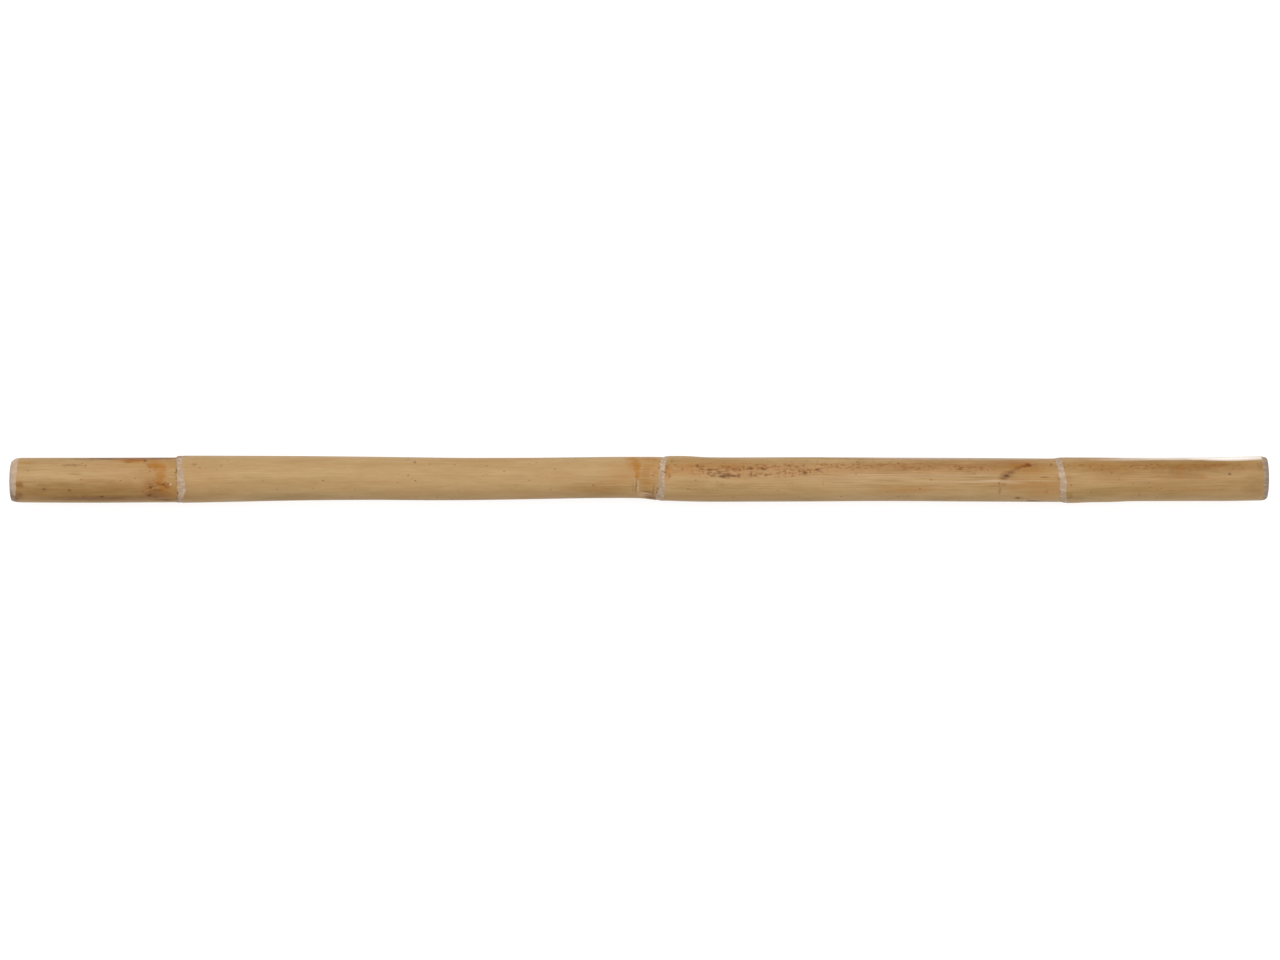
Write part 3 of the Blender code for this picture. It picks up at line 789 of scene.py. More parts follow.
def grown_stem_tree():
    """Turns the spine into the straight stem, keeps each point's place on it as grown, and bends it."""
    inputs = {
        "Geometry": "Geometry",
        "Sides": "Int",
        "Grain depth": "Float",
        "Grain width": "Float",
        "Swell depth": "Float",
        "Material": "Material",
    }
    tree, given = new_tree("grown_stem", "GeometryNodeTree", inputs, ("Geometry", "Geometry"))

    line = add(tree, "GeometryNodeMeshToCurve", {"Mesh": given["Geometry"]})
    ring = add(tree, "GeometryNodeCurvePrimitiveCircle", {"Resolution": given["Sides"], "Radius": 1.0})
    spine = {
        name: add(tree, "GeometryNodeInputNamedAttribute", {"Name": name}, data_type="FLOAT")
        for name in ("half_width", "sideways", "height", "face")
    }
    tube = add(
        tree, "GeometryNodeCurveToMesh", {"Curve": line, "Profile Curve": ring, "Scale": spine["half_width"]}
    )
    place = add(tree, "GeometryNodeInputPosition")
    kept = add(
        tree,
        "GeometryNodeStoreNamedAttribute",
        {"Geometry": tube, "Name": "grown", "Value": place},
        data_type="FLOAT_VECTOR",
    )

    parts = add(tree, "ShaderNodeSeparateXYZ", {0: place}).outputs
    around = add(tree, "ShaderNodeMath", {0: parts["Y"], 1: parts["Z"]}, operation="ARCTAN2")
    side = add(tree, "ShaderNodeMath", {0: around}, operation="SINE")
    up = add(tree, "ShaderNodeMath", {0: around}, operation="COSINE")

    # Furrows run the stem's length, and swellings are about two widths long. Both only take wood away.
    skin = add(tree, "ShaderNodeCombineXYZ", {"X": parts["X"], "Y": side, "Z": up})
    across = add(tree, "ShaderNodeMath", {0: MEAN_RADIUS, 1: given["Grain width"]}, operation="DIVIDE")
    furrow_scale = add(tree, "ShaderNodeCombineXYZ", {"X": 1 / FURROW_LENGTH, "Y": across, "Z": across})
    furrow_place = add(tree, "ShaderNodeVectorMath", {0: skin, 1: furrow_scale}, operation="MULTIPLY")
    furrow = add(tree, "ShaderNodeTexNoise", {"Vector": furrow_place, "Scale": 1.0, "Detail": 2.0})
    swell_scale = (1 / SWELL_LENGTH, SWELL_ROUND, SWELL_ROUND)
    swell_place = add(tree, "ShaderNodeVectorMath", {0: skin, 1: swell_scale}, operation="MULTIPLY")
    swell = add(tree, "ShaderNodeTexNoise", {"Vector": swell_place, "Scale": 1.0, "Detail": 1.0})
    furrows = add(tree, "ShaderNodeMath", {0: furrow, 1: given["Grain depth"]}, operation="MULTIPLY")
    taken = add(
        tree, "ShaderNodeMath", {0: swell, 1: given["Swell depth"], 2: furrows}, operation="MULTIPLY_ADD"
    )
    on_skin = add(tree, "ShaderNodeMath", {0: 1.0, 1: spine["face"]}, operation="SUBTRACT")
    depth = add(tree, "ShaderNodeMath", {0: taken, 1: on_skin}, operation="MULTIPLY")
    y = add(tree, "ShaderNodeMath", {0: side, 1: depth}, operation="MULTIPLY")
    z = add(tree, "ShaderNodeMath", {0: up, 1: depth}, operation="MULTIPLY")
    carved_y = add(tree, "ShaderNodeMath", {0: parts["Y"], 1: y}, operation="SUBTRACT")
    carved_z = add(tree, "ShaderNodeMath", {0: parts["Z"], 1: z}, operation="SUBTRACT")

    oblique = oblique_node_tree()
    x = parts["X"]
    for node in NODES:
        values = {"Place": node["place"], "Lean side": node["lean_side"], "Lean top": node["lean_top"]}
        values.update({"Along": parts["X"], "Side": side, "Up": up, "Reach": LEAN_REACH})
        lean = add(tree, "GeometryNodeGroup", values, node_tree=oblique)
        x = add(tree, "ShaderNodeMath", {0: x, 1: lean}, operation="ADD")

    bent_y = add(tree, "ShaderNodeMath", {0: carved_y, 1: spine["sideways"]}, operation="ADD")
    bent_z = add(
        tree, "ShaderNodeMath", {0: carved_z, 1: FLATNESS, 2: spine["height"]}, operation="MULTIPLY_ADD"
    )
    resting_z = add(tree, "ShaderNodeMath", {0: bent_z, 1: 0.0}, operation="MAXIMUM")
    bent = add(tree, "ShaderNodeCombineXYZ", {"X": x, "Y": bent_y, "Z": resting_z})
    moved = add(tree, "GeometryNodeSetPosition", {"Geometry": kept, "Position": bent})
    closed = add(tree, "GeometryNodeMergeByDistance", {"Geometry": moved, "Distance": 0.001 * MM})
    smooth = add(tree, "GeometryNodeSetShadeSmooth", {0: closed})
    real = add(tree, "GeometryNodeRealizeInstances", {0: smooth})
    dressed = add(tree, "GeometryNodeSetMaterial", {0: real, "Material": given["Material"]})
    add(tree, "NodeGroupOutput", {"Geometry": dressed})
    return tree


def apply_tree(piece, tree, values):
    """Gives the piece the tree as a modifier with these inputs, and turns the result into its plain mesh."""
    modifier = piece.modifiers.new(tree.name, "NODES")
    modifier.node_group = tree
    for item in tree.interface.items_tree:
        if item.in_out == "INPUT" and item.name in values:
            modifier[item.identifier] = values[item.name]
    graph = bpy.context.evaluated_depsgraph_get()
    made = bpy.data.meshes.new_from_object(piece.evaluated_get(graph))
    made.name = piece.name
    piece.modifiers.remove(modifier)
    old = piece.data
    piece.data = made
    bpy.data.meshes.remove(old)


def read_points(mesh, name, kind, size):
    """An attribute of the mesh's vertices, as rows of this many numbers."""
    values = np.zeros(len(mesh.vertices) * size, np.float32)
    mesh.attributes[name].data.foreach_get(kind, values)
    return values.reshape(-1, size).astype(float)


def wobble(around, seed, waves):
    """A ragged line round the stem between about -1 and 1, from a few seeded sine waves."""
    draw = np.random.default_rng(seed)
    line = np.zeros_like(around)
    for wave in waves:
        line += np.sin(wave * around + draw.uniform(0, 2 * math.pi)) / len(waves) * draw.uniform(0.8, 1.6)
    return line


def ring_edges(node, around):
    """How far the left and right edges of the node's trimmed band are from its place, in millimetres."""
    angles = np.radians(EDGE_ANGLES)
    return [np.interp(around, angles, node[edge], period=2 * math.pi) for edge in ("left_mm", "right_mm")]


def ring_inside(node, along, around):
    """How far each point is inside the node's trimmed band, and how far past its left edge, in metres."""
    left, right = ring_edges(node, around)
    left += EDGE_RAGGED[0] * wobble(around, node["seed"], EDGE_WAVES[0])
    right += EDGE_RAGGED[1] * wobble(around, node["seed"] + 1, EDGE_WAVES[1])
    past_left = along - node["place"] - left * MM
    before_right = node["place"] + right * MM - along
    return np.minimum(past_left, before_right), past_left


def press_nodes(along, around, settings):
    """(depth to press in, how far inside a trimmed band, share of the groove at its edge) at each point."""
    depth = np.zeros_like(along)
    inside = np.full_like(along, FAR_OUTSIDE)
    cut = np.zeros_like(along)
    for node in NODES:
        band, past_left = ring_inside(node, along, around)
        groove = np.exp(-((past_left / GROOVE_WIDTH) ** 2))
        groove *= np.clip(GROOVE_GAIN * wobble(around, node["seed"] + 2, GROOVE_WAVES), 0.0, 1.0)
        depth += settings.groove_depth * groove
        depth += settings.skin_thickness * ease(band / SHOULDER)
        inside = np.maximum(inside, band)
        cut = np.maximum(cut, groove)
    return depth, inside, cut


def bevel_inside(along, around):
    """How far each point is inside the sanded bevel of its end, in metres, with an edge that wavers."""
    widths = []
    for bevel in (LEFT_BEVEL, RIGHT_BEVEL):
        waver = bevel["waver"] * wobble(around, bevel["seed"], bevel["waves"])
        widths.append(bevel["bare"] + bevel["bare_side"] * np.sin(around) + waver)
    return np.where(along < 0, widths[0], widths[1]) - (HALF_LENGTH - np.abs(along))


def round_stem(along, across):
    """A place on the stem as seen from above, in millimetres, as millimetres round it from its top."""
    sideways, _ = stem_axis(along * MM)
    share = (across * MM - sideways) / (read_stem(along * MM, 2) / 2)
    return math.asin(min(max(share, -OUTLINE_SHARE), OUTLINE_SHARE)) * MEAN_RADIUS / MM


def press_dimples(along, around):
    """How deep each point is pressed in by the dimples, in metres."""
    arc = around * MEAN_RADIUS / MM
    depth = np.zeros_like(along)
    for place, across, half_length, half_width, deep in DIMPLES:
        off_arc = arc - round_stem(place, across)
        away = ((along / MM - place) / half_length) ** 2 + (off_arc / half_width) ** 2
        depth += deep * MM * ease(DIMPLE_EDGE - away)
    return depth


def finish_stem(mesh, settings):
    """Presses the nodes and dimples into the stem's mesh, and keeps what the skin's material reads."""
    grown = read_points(mesh, "grown", "vector", 3)
    along = grown[:, 0]
    around = np.arctan2(grown[:, 1], grown[:, 2])
    depth, ring, groove = press_nodes(along, around, settings)
    depth += press_dimples(along, around)
    places = read_points(mesh, "position", "vector", 3)
    places[:, 1] -= depth * np.sin(around)
    places[:, 2] = np.maximum(places[:, 2] - depth * np.cos(around) * FLATNESS, 0.0)
    mesh.vertices.foreach_set("co", places.astype(np.float32).ravel())
    kept = {"ring": ring, "groove": groove, "sanded": bevel_inside(along, around)}
    for name, values in kept.items():
        mesh.attributes.new(name, "FLOAT", "POINT").data.foreach_set("value", values.astype(np.float32))
    lay_stem_flat(mesh, grown)
    mesh.update()


def corner_vertices(mesh):
    """Which vertex each face corner of the mesh is at."""
    corners = np.zeros(len(mesh.loops), np.int32)
    mesh.loops.foreach_get("vertex_index", corners)
    return corners


def lay_stem_flat(mesh, grown):
    """Gives the stem its UV map: three lengths of it unrolled, and its two sawn faces."""
    corners = corner_vertices(mesh)
    starts = np.zeros(len(mesh.polygons), np.int32)
    mesh.polygons.foreach_get("loop_start", starts)
    sizes = np.diff(np.append(starts, len(corners)))
    run = read_points(mesh, "run", "value", 1)[:, 0]
    face = read_points(mesh, "face", "value", 1)[:, 0]
    length = run.max()

    centre = np.add.reduceat(grown[corners], starts) / sizes[:, None]
    centre_run = np.add.reduceat(run[corners], starts) / sizes
    strip = np.repeat(np.clip(np.floor(centre_run / length * 3), 0, 2), sizes)
    on_face = np.repeat(np.maximum.reduceat(face[corners], starts) > 0.5, sizes)
    centre_turn = np.repeat(np.arctan2(centre[:, 1], centre[:, 2]), sizes)
    turn = np.arctan2(grown[corners, 1], grown[corners, 2]) - centre_turn
    turn = (turn + math.pi) % (2 * math.pi) - math.pi + centre_turn

    u = run[corners] / MM - strip * length / MM / 3 + SHEET_MARGIN
    v = (turn + math.pi) * MEAN_RADIUS / MM + strip * SHEET_STRIP + SHEET_MARGIN
    face_v = np.where(grown[corners, 0] < 0, FACE_V[0], FACE_V[1])
    u = np.where(on_face, grown[corners, 1] / MM + FACE_U, u)
    v = np.where(on_face, grown[corners, 2] / MM + face_v, v)
    lay_flat(mesh, u / SHEET_SIDE, v / SHEET_SIDE)


def lay_flat(mesh, u, v):
    """Writes a UV map from each face corner's place on its sheet, as shares of the sheet's side."""
    layer = mesh.uv_layers.new(name="OFBake")
    layer.data.foreach_set("uv", np.stack((u, v), 1).astype(np.float32).ravel())


def hidden_marks(kind):
    """Marks for the sides and the underside, of the size that this kind of mark has on the upper side."""
    draw = np.random.default_rng(sorted(MARKS).index(kind) + HIDDEN_SEED)
    seen = MARKS[kind]
    marks = []
    for _ in range(MARK_KINDS[kind]["hidden"]):
        like = seen[draw.integers(len(seen))]
        turn = math.radians(draw.uniform(*HIDDEN_TURNS)) * draw.choice((-1, 1))
        along = draw.uniform(-HIDDEN_REACH, HIDDEN_REACH)
        marks.append((along, turn * MEAN_RADIUS / MM, like[2], like[3], like[4] * HIDDEN_STRENGTH))
    return marks


def wrapped_marks(kind):
    """The marks of a kind with their place across the stem turned into millimetres round it."""
    marks = []
    for along, across, half_length, half_width, strength in MARKS[kind]:
        arc = round_stem(along, across)
        widened = min(1 / math.cos(arc * MM / MEAN_RADIUS), MOST_WIDENED)
        marks.append((along, arc, half_length, half_width * widened, strength))
    return marks + hidden_marks(kind)


def marks_tree(name):
    """The strength of one kind of mark, everywhere on the skin: each mark is strongest at its middle and
    fades out to its edge. It has only vector and plain maths, because a few hundred nodes of other kinds fill
    up the renderer's stack."""
    tree, given = new_tree(f"{name}_marks", "ShaderNodeTree", {"Place": "Vector"}, ("Mask", "Float"))
    place = given["Place"]
    reach = MARK_KINDS[name]["reach"]
    mask = 0.0
    for along, arc, half_length, half_width, strength in wrapped_marks(name):
        stretch = (1 / half_length / reach, 1 / half_width / reach, 0)
        shift = (-along * stretch[0], -arc * stretch[1], 0)
        share = add(tree, "ShaderNodeVectorMath", {0: place, 1: stretch, 2: shift}, operation="MULTIPLY_ADD")
        square = add(tree, "ShaderNodeVectorMath", {0: share, 1: share}, operation="DOT_PRODUCT")
        mark = add(tree, "ShaderNodeMath", {0: square, 1: -strength, 2: strength}, operation="MULTIPLY_ADD")
        mask = add(tree, "ShaderNodeMath", {0: mask, 1: mark}, operation="MAXIMUM")
    soft = add(tree, "ShaderNodeMapRange", {"Value": mask}, interpolation_type="SMOOTHSTEP")
    add(tree, "NodeGroupOutput", {"Mask": soft})
    return tree


def pattern_scale(sizes):
    """What places in metres are multiplied by, so that a pattern has these sizes in millimetres."""
    return tuple(1 / (size * MM) for size in sizes)


def unrolled_places(tree, grown):
    """Places on the unrolled skin, in millimetres, by how ragged they make a mark's edge."""
    parts = add(tree, "ShaderNodeSeparateXYZ", {0: grown}).outputs
    turn = add(tree, "ShaderNodeMath", {0: parts["Y"], 1: parts["Z"]}, operation="ARCTAN2")
    along = add(tree, "ShaderNodeMath", {0: parts["X"], 1: 1 / MM}, operation="MULTIPLY")
    arc = add(tree, "ShaderNodeMath", {0: turn, 1: MEAN_RADIUS / MM}, operation="MULTIPLY")
    flat = add(tree, "ShaderNodeCombineXYZ", {"X": along, "Y": arc, "Z": 0.0})
    places = {}
    for size in sorted({kind["ragged_mm"] for kind in MARK_KINDS.values()}):
        scale = pattern_scale([size * wave for wave in RAGGED_WAVE])
        scaled = add(tree, "ShaderNodeMapping", {"Vector": grown, "Scale": scale})
        noise = add(tree, "ShaderNodeTexNoise", {"Vector": scaled, "Scale": 1.0, "Detail": 3.0})
        values = {0: noise.outputs["Color"], 1: (0.5, 0.5, 0.5)}
        centred = add(tree, "ShaderNodeVectorMath", values, operation="SUBTRACT")
        values = {0: centred, 1: [size * push for push in RAGGED_PUSH], 2: flat}
        places[size] = add(tree, "ShaderNodeVectorMath", values, operation="MULTIPLY_ADD")
    return places


def mark_masks(tree, places):
    """The strength of each kind of mark, everywhere on the skin."""
    masks = {}
    for name, kind in MARK_KINDS.items():
        values = {"Place": places[kind["ragged_mm"]]}
        masks[name] = add(tree, "ShaderNodeGroup", values, node_tree=marks_tree(name)).outputs["Mask"]
    return masks


def pattern_shares(tree, grown):
    """(the patterns, the shares that are read from them), everywhere on the skin."""
    patterns = {}
    for i, (name, (sizes, detail)) in enumerate(PATTERNS.items()):
        values = {"Vector": grown, "Location": (i, i, i), "Scale": pattern_scale(sizes)}
        scaled = add(tree, "ShaderNodeMapping", values)
        patterns[name] = add(tree, "ShaderNodeTexNoise", {"Vector": scaled, "Scale": 1.0, "Detail": detail})
    shares = {}
    for name, (pattern, start, end, low, high) in SHARES.items():
        values = {"Value": patterns[pattern], "From Min": start, "From Max": end}
        values.update({"To Min": low, "To Max": high})
        shares[name] = add(tree, "ShaderNodeMapRange", values, interpolation_type="SMOOTHSTEP")
    return patterns, shares


def lay_coats(tree, ground, coats):
    """Lays coats over the ground, each with its colour, how it is laid on, and two shares that thin it."""
    for colour, blend, share, thinned in coats:
        amount = add(tree, "ShaderNodeMath", {0: share, 1: thinned}, operation="MULTIPLY")
        values = {"Factor": amount, "A": ground, "B": colour}
        ground = add(tree, "ShaderNodeMix", values, data_type="RGBA", blend_type=blend)
    return ground


def freckle_share(tree, grown, freckled, mottled):
    """How much of a freckle each point has: dots of a cell pattern, more of them where the skin is freckled,
    and there also the patches of a mottle."""
    scaled = add(tree, "ShaderNodeMapping", {"Vector": grown, "Scale": pattern_scale(FRECKLE_SIZES)})
    cells = add(tree, "ShaderNodeTexVoronoi", {"Vector": scaled, "Scale": 1.0}).outputs
    draw = add(tree, "ShaderNodeSeparateColor", {0: cells["Color"]}).outputs[0]
    values = {"Value": cells["Distance"], "From Min": FRECKLE_END, "From Max": FRECKLE_FULL}
    dot = add(tree, "ShaderNodeMapRange", values, interpolation_type="SMOOTHSTEP")
    values = {0: freckled, 1: FRECKLED_CELLS, 2: STRAY_CELLS}
    allowed = add(tree, "ShaderNodeMath", values, operation="MULTIPLY_ADD")
    chosen = add(tree, "ShaderNodeMath", {0: draw, 1: allowed}, operation="LESS_THAN")
    dots = add(tree, "ShaderNodeMath", {0: dot, 1: chosen}, operation="MULTIPLY")
    patches = add(tree, "ShaderNodeMath", {0: mottled, 1: freckled}, operation="MULTIPLY")
    return add(tree, "ShaderNodeMath", {0: dots, 1: patches}, operation="MAXIMUM")


def sawn_shares(tree, grown):
    """(how far each point is on a sawn face, how near it is there to the denser wood of the rim)."""
    face = add(tree, "ShaderNodeAttribute", attribute_name="face").outputs["Fac"]
    flat = add(tree, "ShaderNodeVectorMath", {0: grown, 1: (0, 1 / MM, 1 / MM)}, operation="MULTIPLY")
    out = add(tree, "ShaderNodeVectorMath", {0: flat}, operation="LENGTH")
    near = add(tree, "ShaderNodeMapRange", {"Value": out, "From Min": RIM_WOOD[0], "From Max": RIM_WOOD[1]})
    return face, add(tree, "ShaderNodeMath", {0: near, 1: face}, operation="MULTIPLY")


def bare_share(tree, grit):
    """(how bare the wood is: 1 on a trimmed node, a bevel or a face, 0 on skin; the same of bevels alone)."""
    values = {0: grit, 1: BARE_JITTER, 2: -BARE_JITTER / 2}
    jitter = add(tree, "ShaderNodeMath", values, operation="MULTIPLY_ADD")
    inside = []
    for name, (start, end) in BARE_EDGES.items():
        edge = add(tree, "ShaderNodeAttribute", attribute_name=name).outputs["Fac"]
        ragged = add(tree, "ShaderNodeMath", {0: edge, 1: jitter}, operation="ADD")
        values = {"Value": ragged, "From Min": start * MM, "From Max": end * MM}
        inside.append(add(tree, "ShaderNodeMapRange", values, interpolation_type="SMOOTHSTEP"))
    return add(tree, "ShaderNodeMath", {0: inside[0], 1: inside[1]}, operation="MAXIMUM"), inside[1]


def skin_material(finish):
    """Rattan skin: a thin, satin, straw-coloured skin with silica in it, over pale wood that shows where it
    is sanded. It gives the eye lengthwise lines, a mottle, freckles, and the stains and scratches of its
    growth."""
    material, tree = new_material("silica_rattan_skin")
    grown = add(tree, "ShaderNodeAttribute", attribute_name="grown").outputs["Vector"]
    groove = add(tree, "ShaderNodeAttribute", attribute_name="groove").outputs["Fac"]
    patterns, shares = pattern_shares(tree, grown)
    masks = mark_masks(tree, unrolled_places(tree, grown))
    masks["freckled"] = freckle_share(tree, grown, masks["freckled"], shares["mottled"])

    skin = lay_coats(tree, finish.straw, [
        (finish.honey, "MIX", shares["cloudy"], 0.4),
        (finish.blush, "MULTIPLY", shares["reddish"], 0.4),
        (finish.moss, "MULTIPLY", shares["greenish"], 0.25),
        (finish.lined, "MULTIPLY", shares["grainy"], 0.15),
        (finish.lined, "MULTIPLY", shares["thin_lines"], 0.14),
        (finish.lined, "MULTIPLY", shares["wide_lines"], 0.06),
        (finish.lined, "MULTIPLY", shares["bands"], 0.05),
    ])
    # Some of these marks paint light. Painted shade runs along the stem's outline and low on the second
    # internode. Painted highlight lies on the top edge near the right end and in streaks along the third
    # internode.
    on_skin = [name for name in MARK_KINDS if name not in ("grime", "tarnish")]
    skin = lay_coats(tree, skin, [
        (getattr(finish, name), MARK_KINDS[name]["blend"], masks[name], shares[MARK_KINDS[name]["pattern"]])
        for name in on_skin
    ])

    # Bare wood is matt and mottled, with a dark line where the knife cut the skin at a node. A sawn face is
    # browner at its rim, and the saw left faint straight marks on it.
    bare, bevels = bare_share(tree, patterns["grit"])
    face, rim = sawn_shares(tree, grown)
    saw_marks = add(tree, "ShaderNodeMath", {0: shares["saw_marks"], 1: 0.3}, operation="MULTIPLY")
    wood = lay_coats(tree, finish.wood, [
        (finish.pale_wood, "MIX", shares["wood_blotch"], 0.8),
        (finish.fibre, "MIX", shares["wood_grit"], 0.4),
        (finish.pale_wood, "MIX", bevels, 0.4),
        (finish.tarnish, "MIX", masks["tarnish"], shares["blots"]),
        (finish.pale_wood, "MIX", face, 0.75),
        (finish.fibre, "MIX", rim, 0.45),
        (finish.fibre, "MIX", face, saw_marks),
    ])
    colour = lay_coats(tree, skin, [
        (wood, "MIX", bare, 1.0),
        (finish.grime, "MULTIPLY", masks["grime"], shares["blots"]),
        (finish.speck, "MIX", groove, shares["broken"]),
    ])

    # The skin is unevenly worn, so its gloss comes and goes. Bare wood is rougher and has the sanding's grit.
    values = {0: patterns["cloud"], 1: 0.16, 2: finish.roughness - 0.08}
    worn = add(tree, "ShaderNodeMath", values, operation="MULTIPLY_ADD")
    roughness = add(tree, "ShaderNodeMix", {"Factor": bare, "A": worn, "B": 0.85})
    relief = add(tree, "ShaderNodeMath", {0: patterns["bundle"], 1: 1.5}, operation="MULTIPLY")
    relief = add(tree, "ShaderNodeMath", {0: patterns["fibre"], 1: 1.0, 2: relief}, operation="MULTIPLY_ADD")
    sawn = add(tree, "ShaderNodeMath", {0: patterns["grit"], 1: 4.0}, operation="MULTIPLY")
    relief = add(tree, "ShaderNodeMix", {"Factor": bare, "A": relief, "B": sawn})
    bump = add(tree, "ShaderNodeBump", {"Height": relief, "Strength": 1.0, "Distance": 0.018 * MM})
    values = {"Base Color": colour, "Roughness": roughness, "Normal": bump}
    values.update({"IOR": 1.46, "Specular IOR Level": 0.2})
    shader = add(tree, "ShaderNodeBsdfPrincipled", values)
    add(tree, "ShaderNodeOutputMaterial", {"Surface": shader})
    return material


def make_bundle():
    """One cut vessel bundle: a low ring of hard fibre round its open vessel."""
    sides = BUNDLE_SIDES
    points = [
        (radius * math.cos(2 * math.pi * i / sides), radius * math.sin(2 * math.pi * i / sides), up)
        for radius, up, _ in BUNDLE_RINGS
        for i in range(sides)
    ]
    inner = (len(BUNDLE_RINGS) - 1) * sides
    faces = [
        (j + i, j + (i + 1) % sides, j + sides + (i + 1) % sides, j + sides + i)
        for j in range(0, inner, sides)
        for i in range(sides)
    ]
    faces.append(tuple(range(inner, inner + sides)))
    mesh = bpy.data.meshes.new("bundle")
    mesh.from_pydata(points, [], faces)
    open_share = [vessel for _, _, vessel in BUNDLE_RINGS for _ in range(sides)]
    mesh.attributes.new("vessel", "FLOAT", "POINT").data.foreach_set("value", open_share)
    return bpy.data.objects.new("bundle", mesh)


def bundle_tree():
    """Drops a bundle from each point on to the stem, the way that the point's aim shows."""
    inputs = {
        "Geometry": "Geometry",
        "Stem": "Object",
        "Bundle": "Object",
        "Width": "Float",
        "Height": "Float",
        "Material": "Material",
    }
    tree, given = new_tree("set_bundles", "GeometryNodeTree", inputs, ("Geometry", "Geometry"))
    stem = add(tree, "GeometryNodeObjectInfo", {"Object": given["Stem"]}).outputs["Geometry"]
    bundle = add(tree, "GeometryNodeObjectInfo", {"Object": given["Bundle"]}).outputs["Geometry"]
    aim = add(tree, "GeometryNodeInputNamedAttribute", {"Name": "aim"}, data_type="FLOAT_VECTOR")
    size = add(tree, "GeometryNodeInputNamedAttribute", {"Name": "size"}, data_type="FLOAT")
    values = {"Target Geometry": stem, "Ray Direction": aim, "Ray Length": DROP_REACH}
    hit = add(tree, "GeometryNodeRaycast", values).outputs["Hit Position"]
    dropped = add(tree, "GeometryNodeSetPosition", {"Geometry": given["Geometry"], "Position": hit})
    out = add(tree, "ShaderNodeVectorMath", {0: aim, "Scale": -1.0}, operation="SCALE")
    turned = add(tree, "FunctionNodeAlignRotationToVector", {"Vector": out}, axis="Z")
    width = add(tree, "ShaderNodeMath", {0: given["Width"], 1: size}, operation="MULTIPLY")
    scale = add(tree, "ShaderNodeCombineXYZ", {"X": width, "Y": width, "Z": given["Height"]})
    values = {"Points": dropped, "Instance": bundle, "Rotation": turned, "Scale": scale}
    placed = add(tree, "GeometryNodeInstanceOnPoints", values)
    real = add(tree, "GeometryNodeRealizeInstances", {0: placed})
    dressed = add(tree, "GeometryNodeSetMaterial", {0: real, "Material": given["Material"]})
    add(tree, "NodeGroupOutput", {"Geometry": dressed})
    return tree


def face_points(end, settings):
    """(place, way to the face, size) of one sawn end's bundles: closer together and smaller at its rim."""
    bevel = LEFT_BEVEL if end < 0 else RIGHT_BEVEL
    place = end * HALF_LENGTH
    rim = read_stem(place, 2) / 2 - bevel["inward"]
    sideways, height = stem_axis(place)
    sideways += bevel["face_shift"]
    draw = np.random.default_rng(settings.seed + end)
    points = []
    for i in range(settings.bundles):
        out = ((i + 0.5) / settings.bundles) ** SPIRAL_POWER
        turn = i * SPIRAL_TURN
        y = sideways + rim * out * math.sin(turn) * SPIRAL_SHARE
        z = height + rim * out * math.cos(turn) * SPIRAL_SHARE * FLATNESS
        y += draw.uniform(-BUNDLE_JITTER, BUNDLE_JITTER)
        z += draw.uniform(-BUNDLE_JITTER, BUNDLE_JITTER)
        size = draw.uniform(*BUNDLE_SIZES) * (1.08 - 0.3 * out**4)
        points.append(((place + end * DROP_BEYOND, y, z), (-end, 0, 0), size))
    return points


def scar_points(settings):
    """(place, way to the stem, size) of the bundle scars round each trimmed node."""
    draw = np.random.default_rng(settings.seed)
    points = []
    for node in NODES:
        for i in range(settings.scars):
            around = (i + draw.uniform(0.2, 0.8)) / settings.scars * 2 * math.pi - math.pi
            left, right = ring_edges(node, around)
            along = node["place"] + (left + draw.uniform(0.15, 0.6) * (right - left)) * MM
            sideways, height = stem_axis(along)
            side, up = math.sin(around), math.cos(around)
            x = along + node["lean_side"] * side + node["lean_top"] * up
            y = DROP_OUTSIDE * side + sideways
            z = DROP_OUTSIDE * up * FLATNESS + height
            points.append(((x, y, z), (0, -side, -up * FLATNESS), draw.uniform(*SCAR_SIZES)))
    return points


def bundle_material(finish):
    """Cut vessel bundles: hard brown fibre round open vessels, sanded nearly flush. They give the eye the
    dotted, pin-holed face of sawn rattan."""
    material, tree = new_material("cut_vessel_bundles")
    place = add(tree, "ShaderNodeTexCoord").outputs["Object"]
    noise = add(tree, "ShaderNodeTexNoise", {"Vector": place, "Scale": 1 / (0.9 * MM), "Detail": 2.0})
    pale = add(tree, "ShaderNodeMapRange", {"Value": noise, "From Min": 0.38, "From Max": 0.62})
    vessel = add(tree, "ShaderNodeAttribute", attribute_name="vessel").outputs["Fac"]
    colour = lay_coats(tree, finish.fibre, [
        (finish.pale_wood, "MIX", pale, 0.6),
        (finish.vessel, "MIX", vessel, 1.0),
    ])
    bump = add(tree, "ShaderNodeBump", {"Height": noise, "Strength": 1.0, "Distance": 0.02 * MM})
    values = {"Base Color": colour, "Roughness": 0.8, "Normal": bump, "IOR": 1.46}
    shader = add(tree, "ShaderNodeBsdfPrincipled", values)
    add(tree, "ShaderNodeOutputMaterial", {"Surface": shader})
    return material


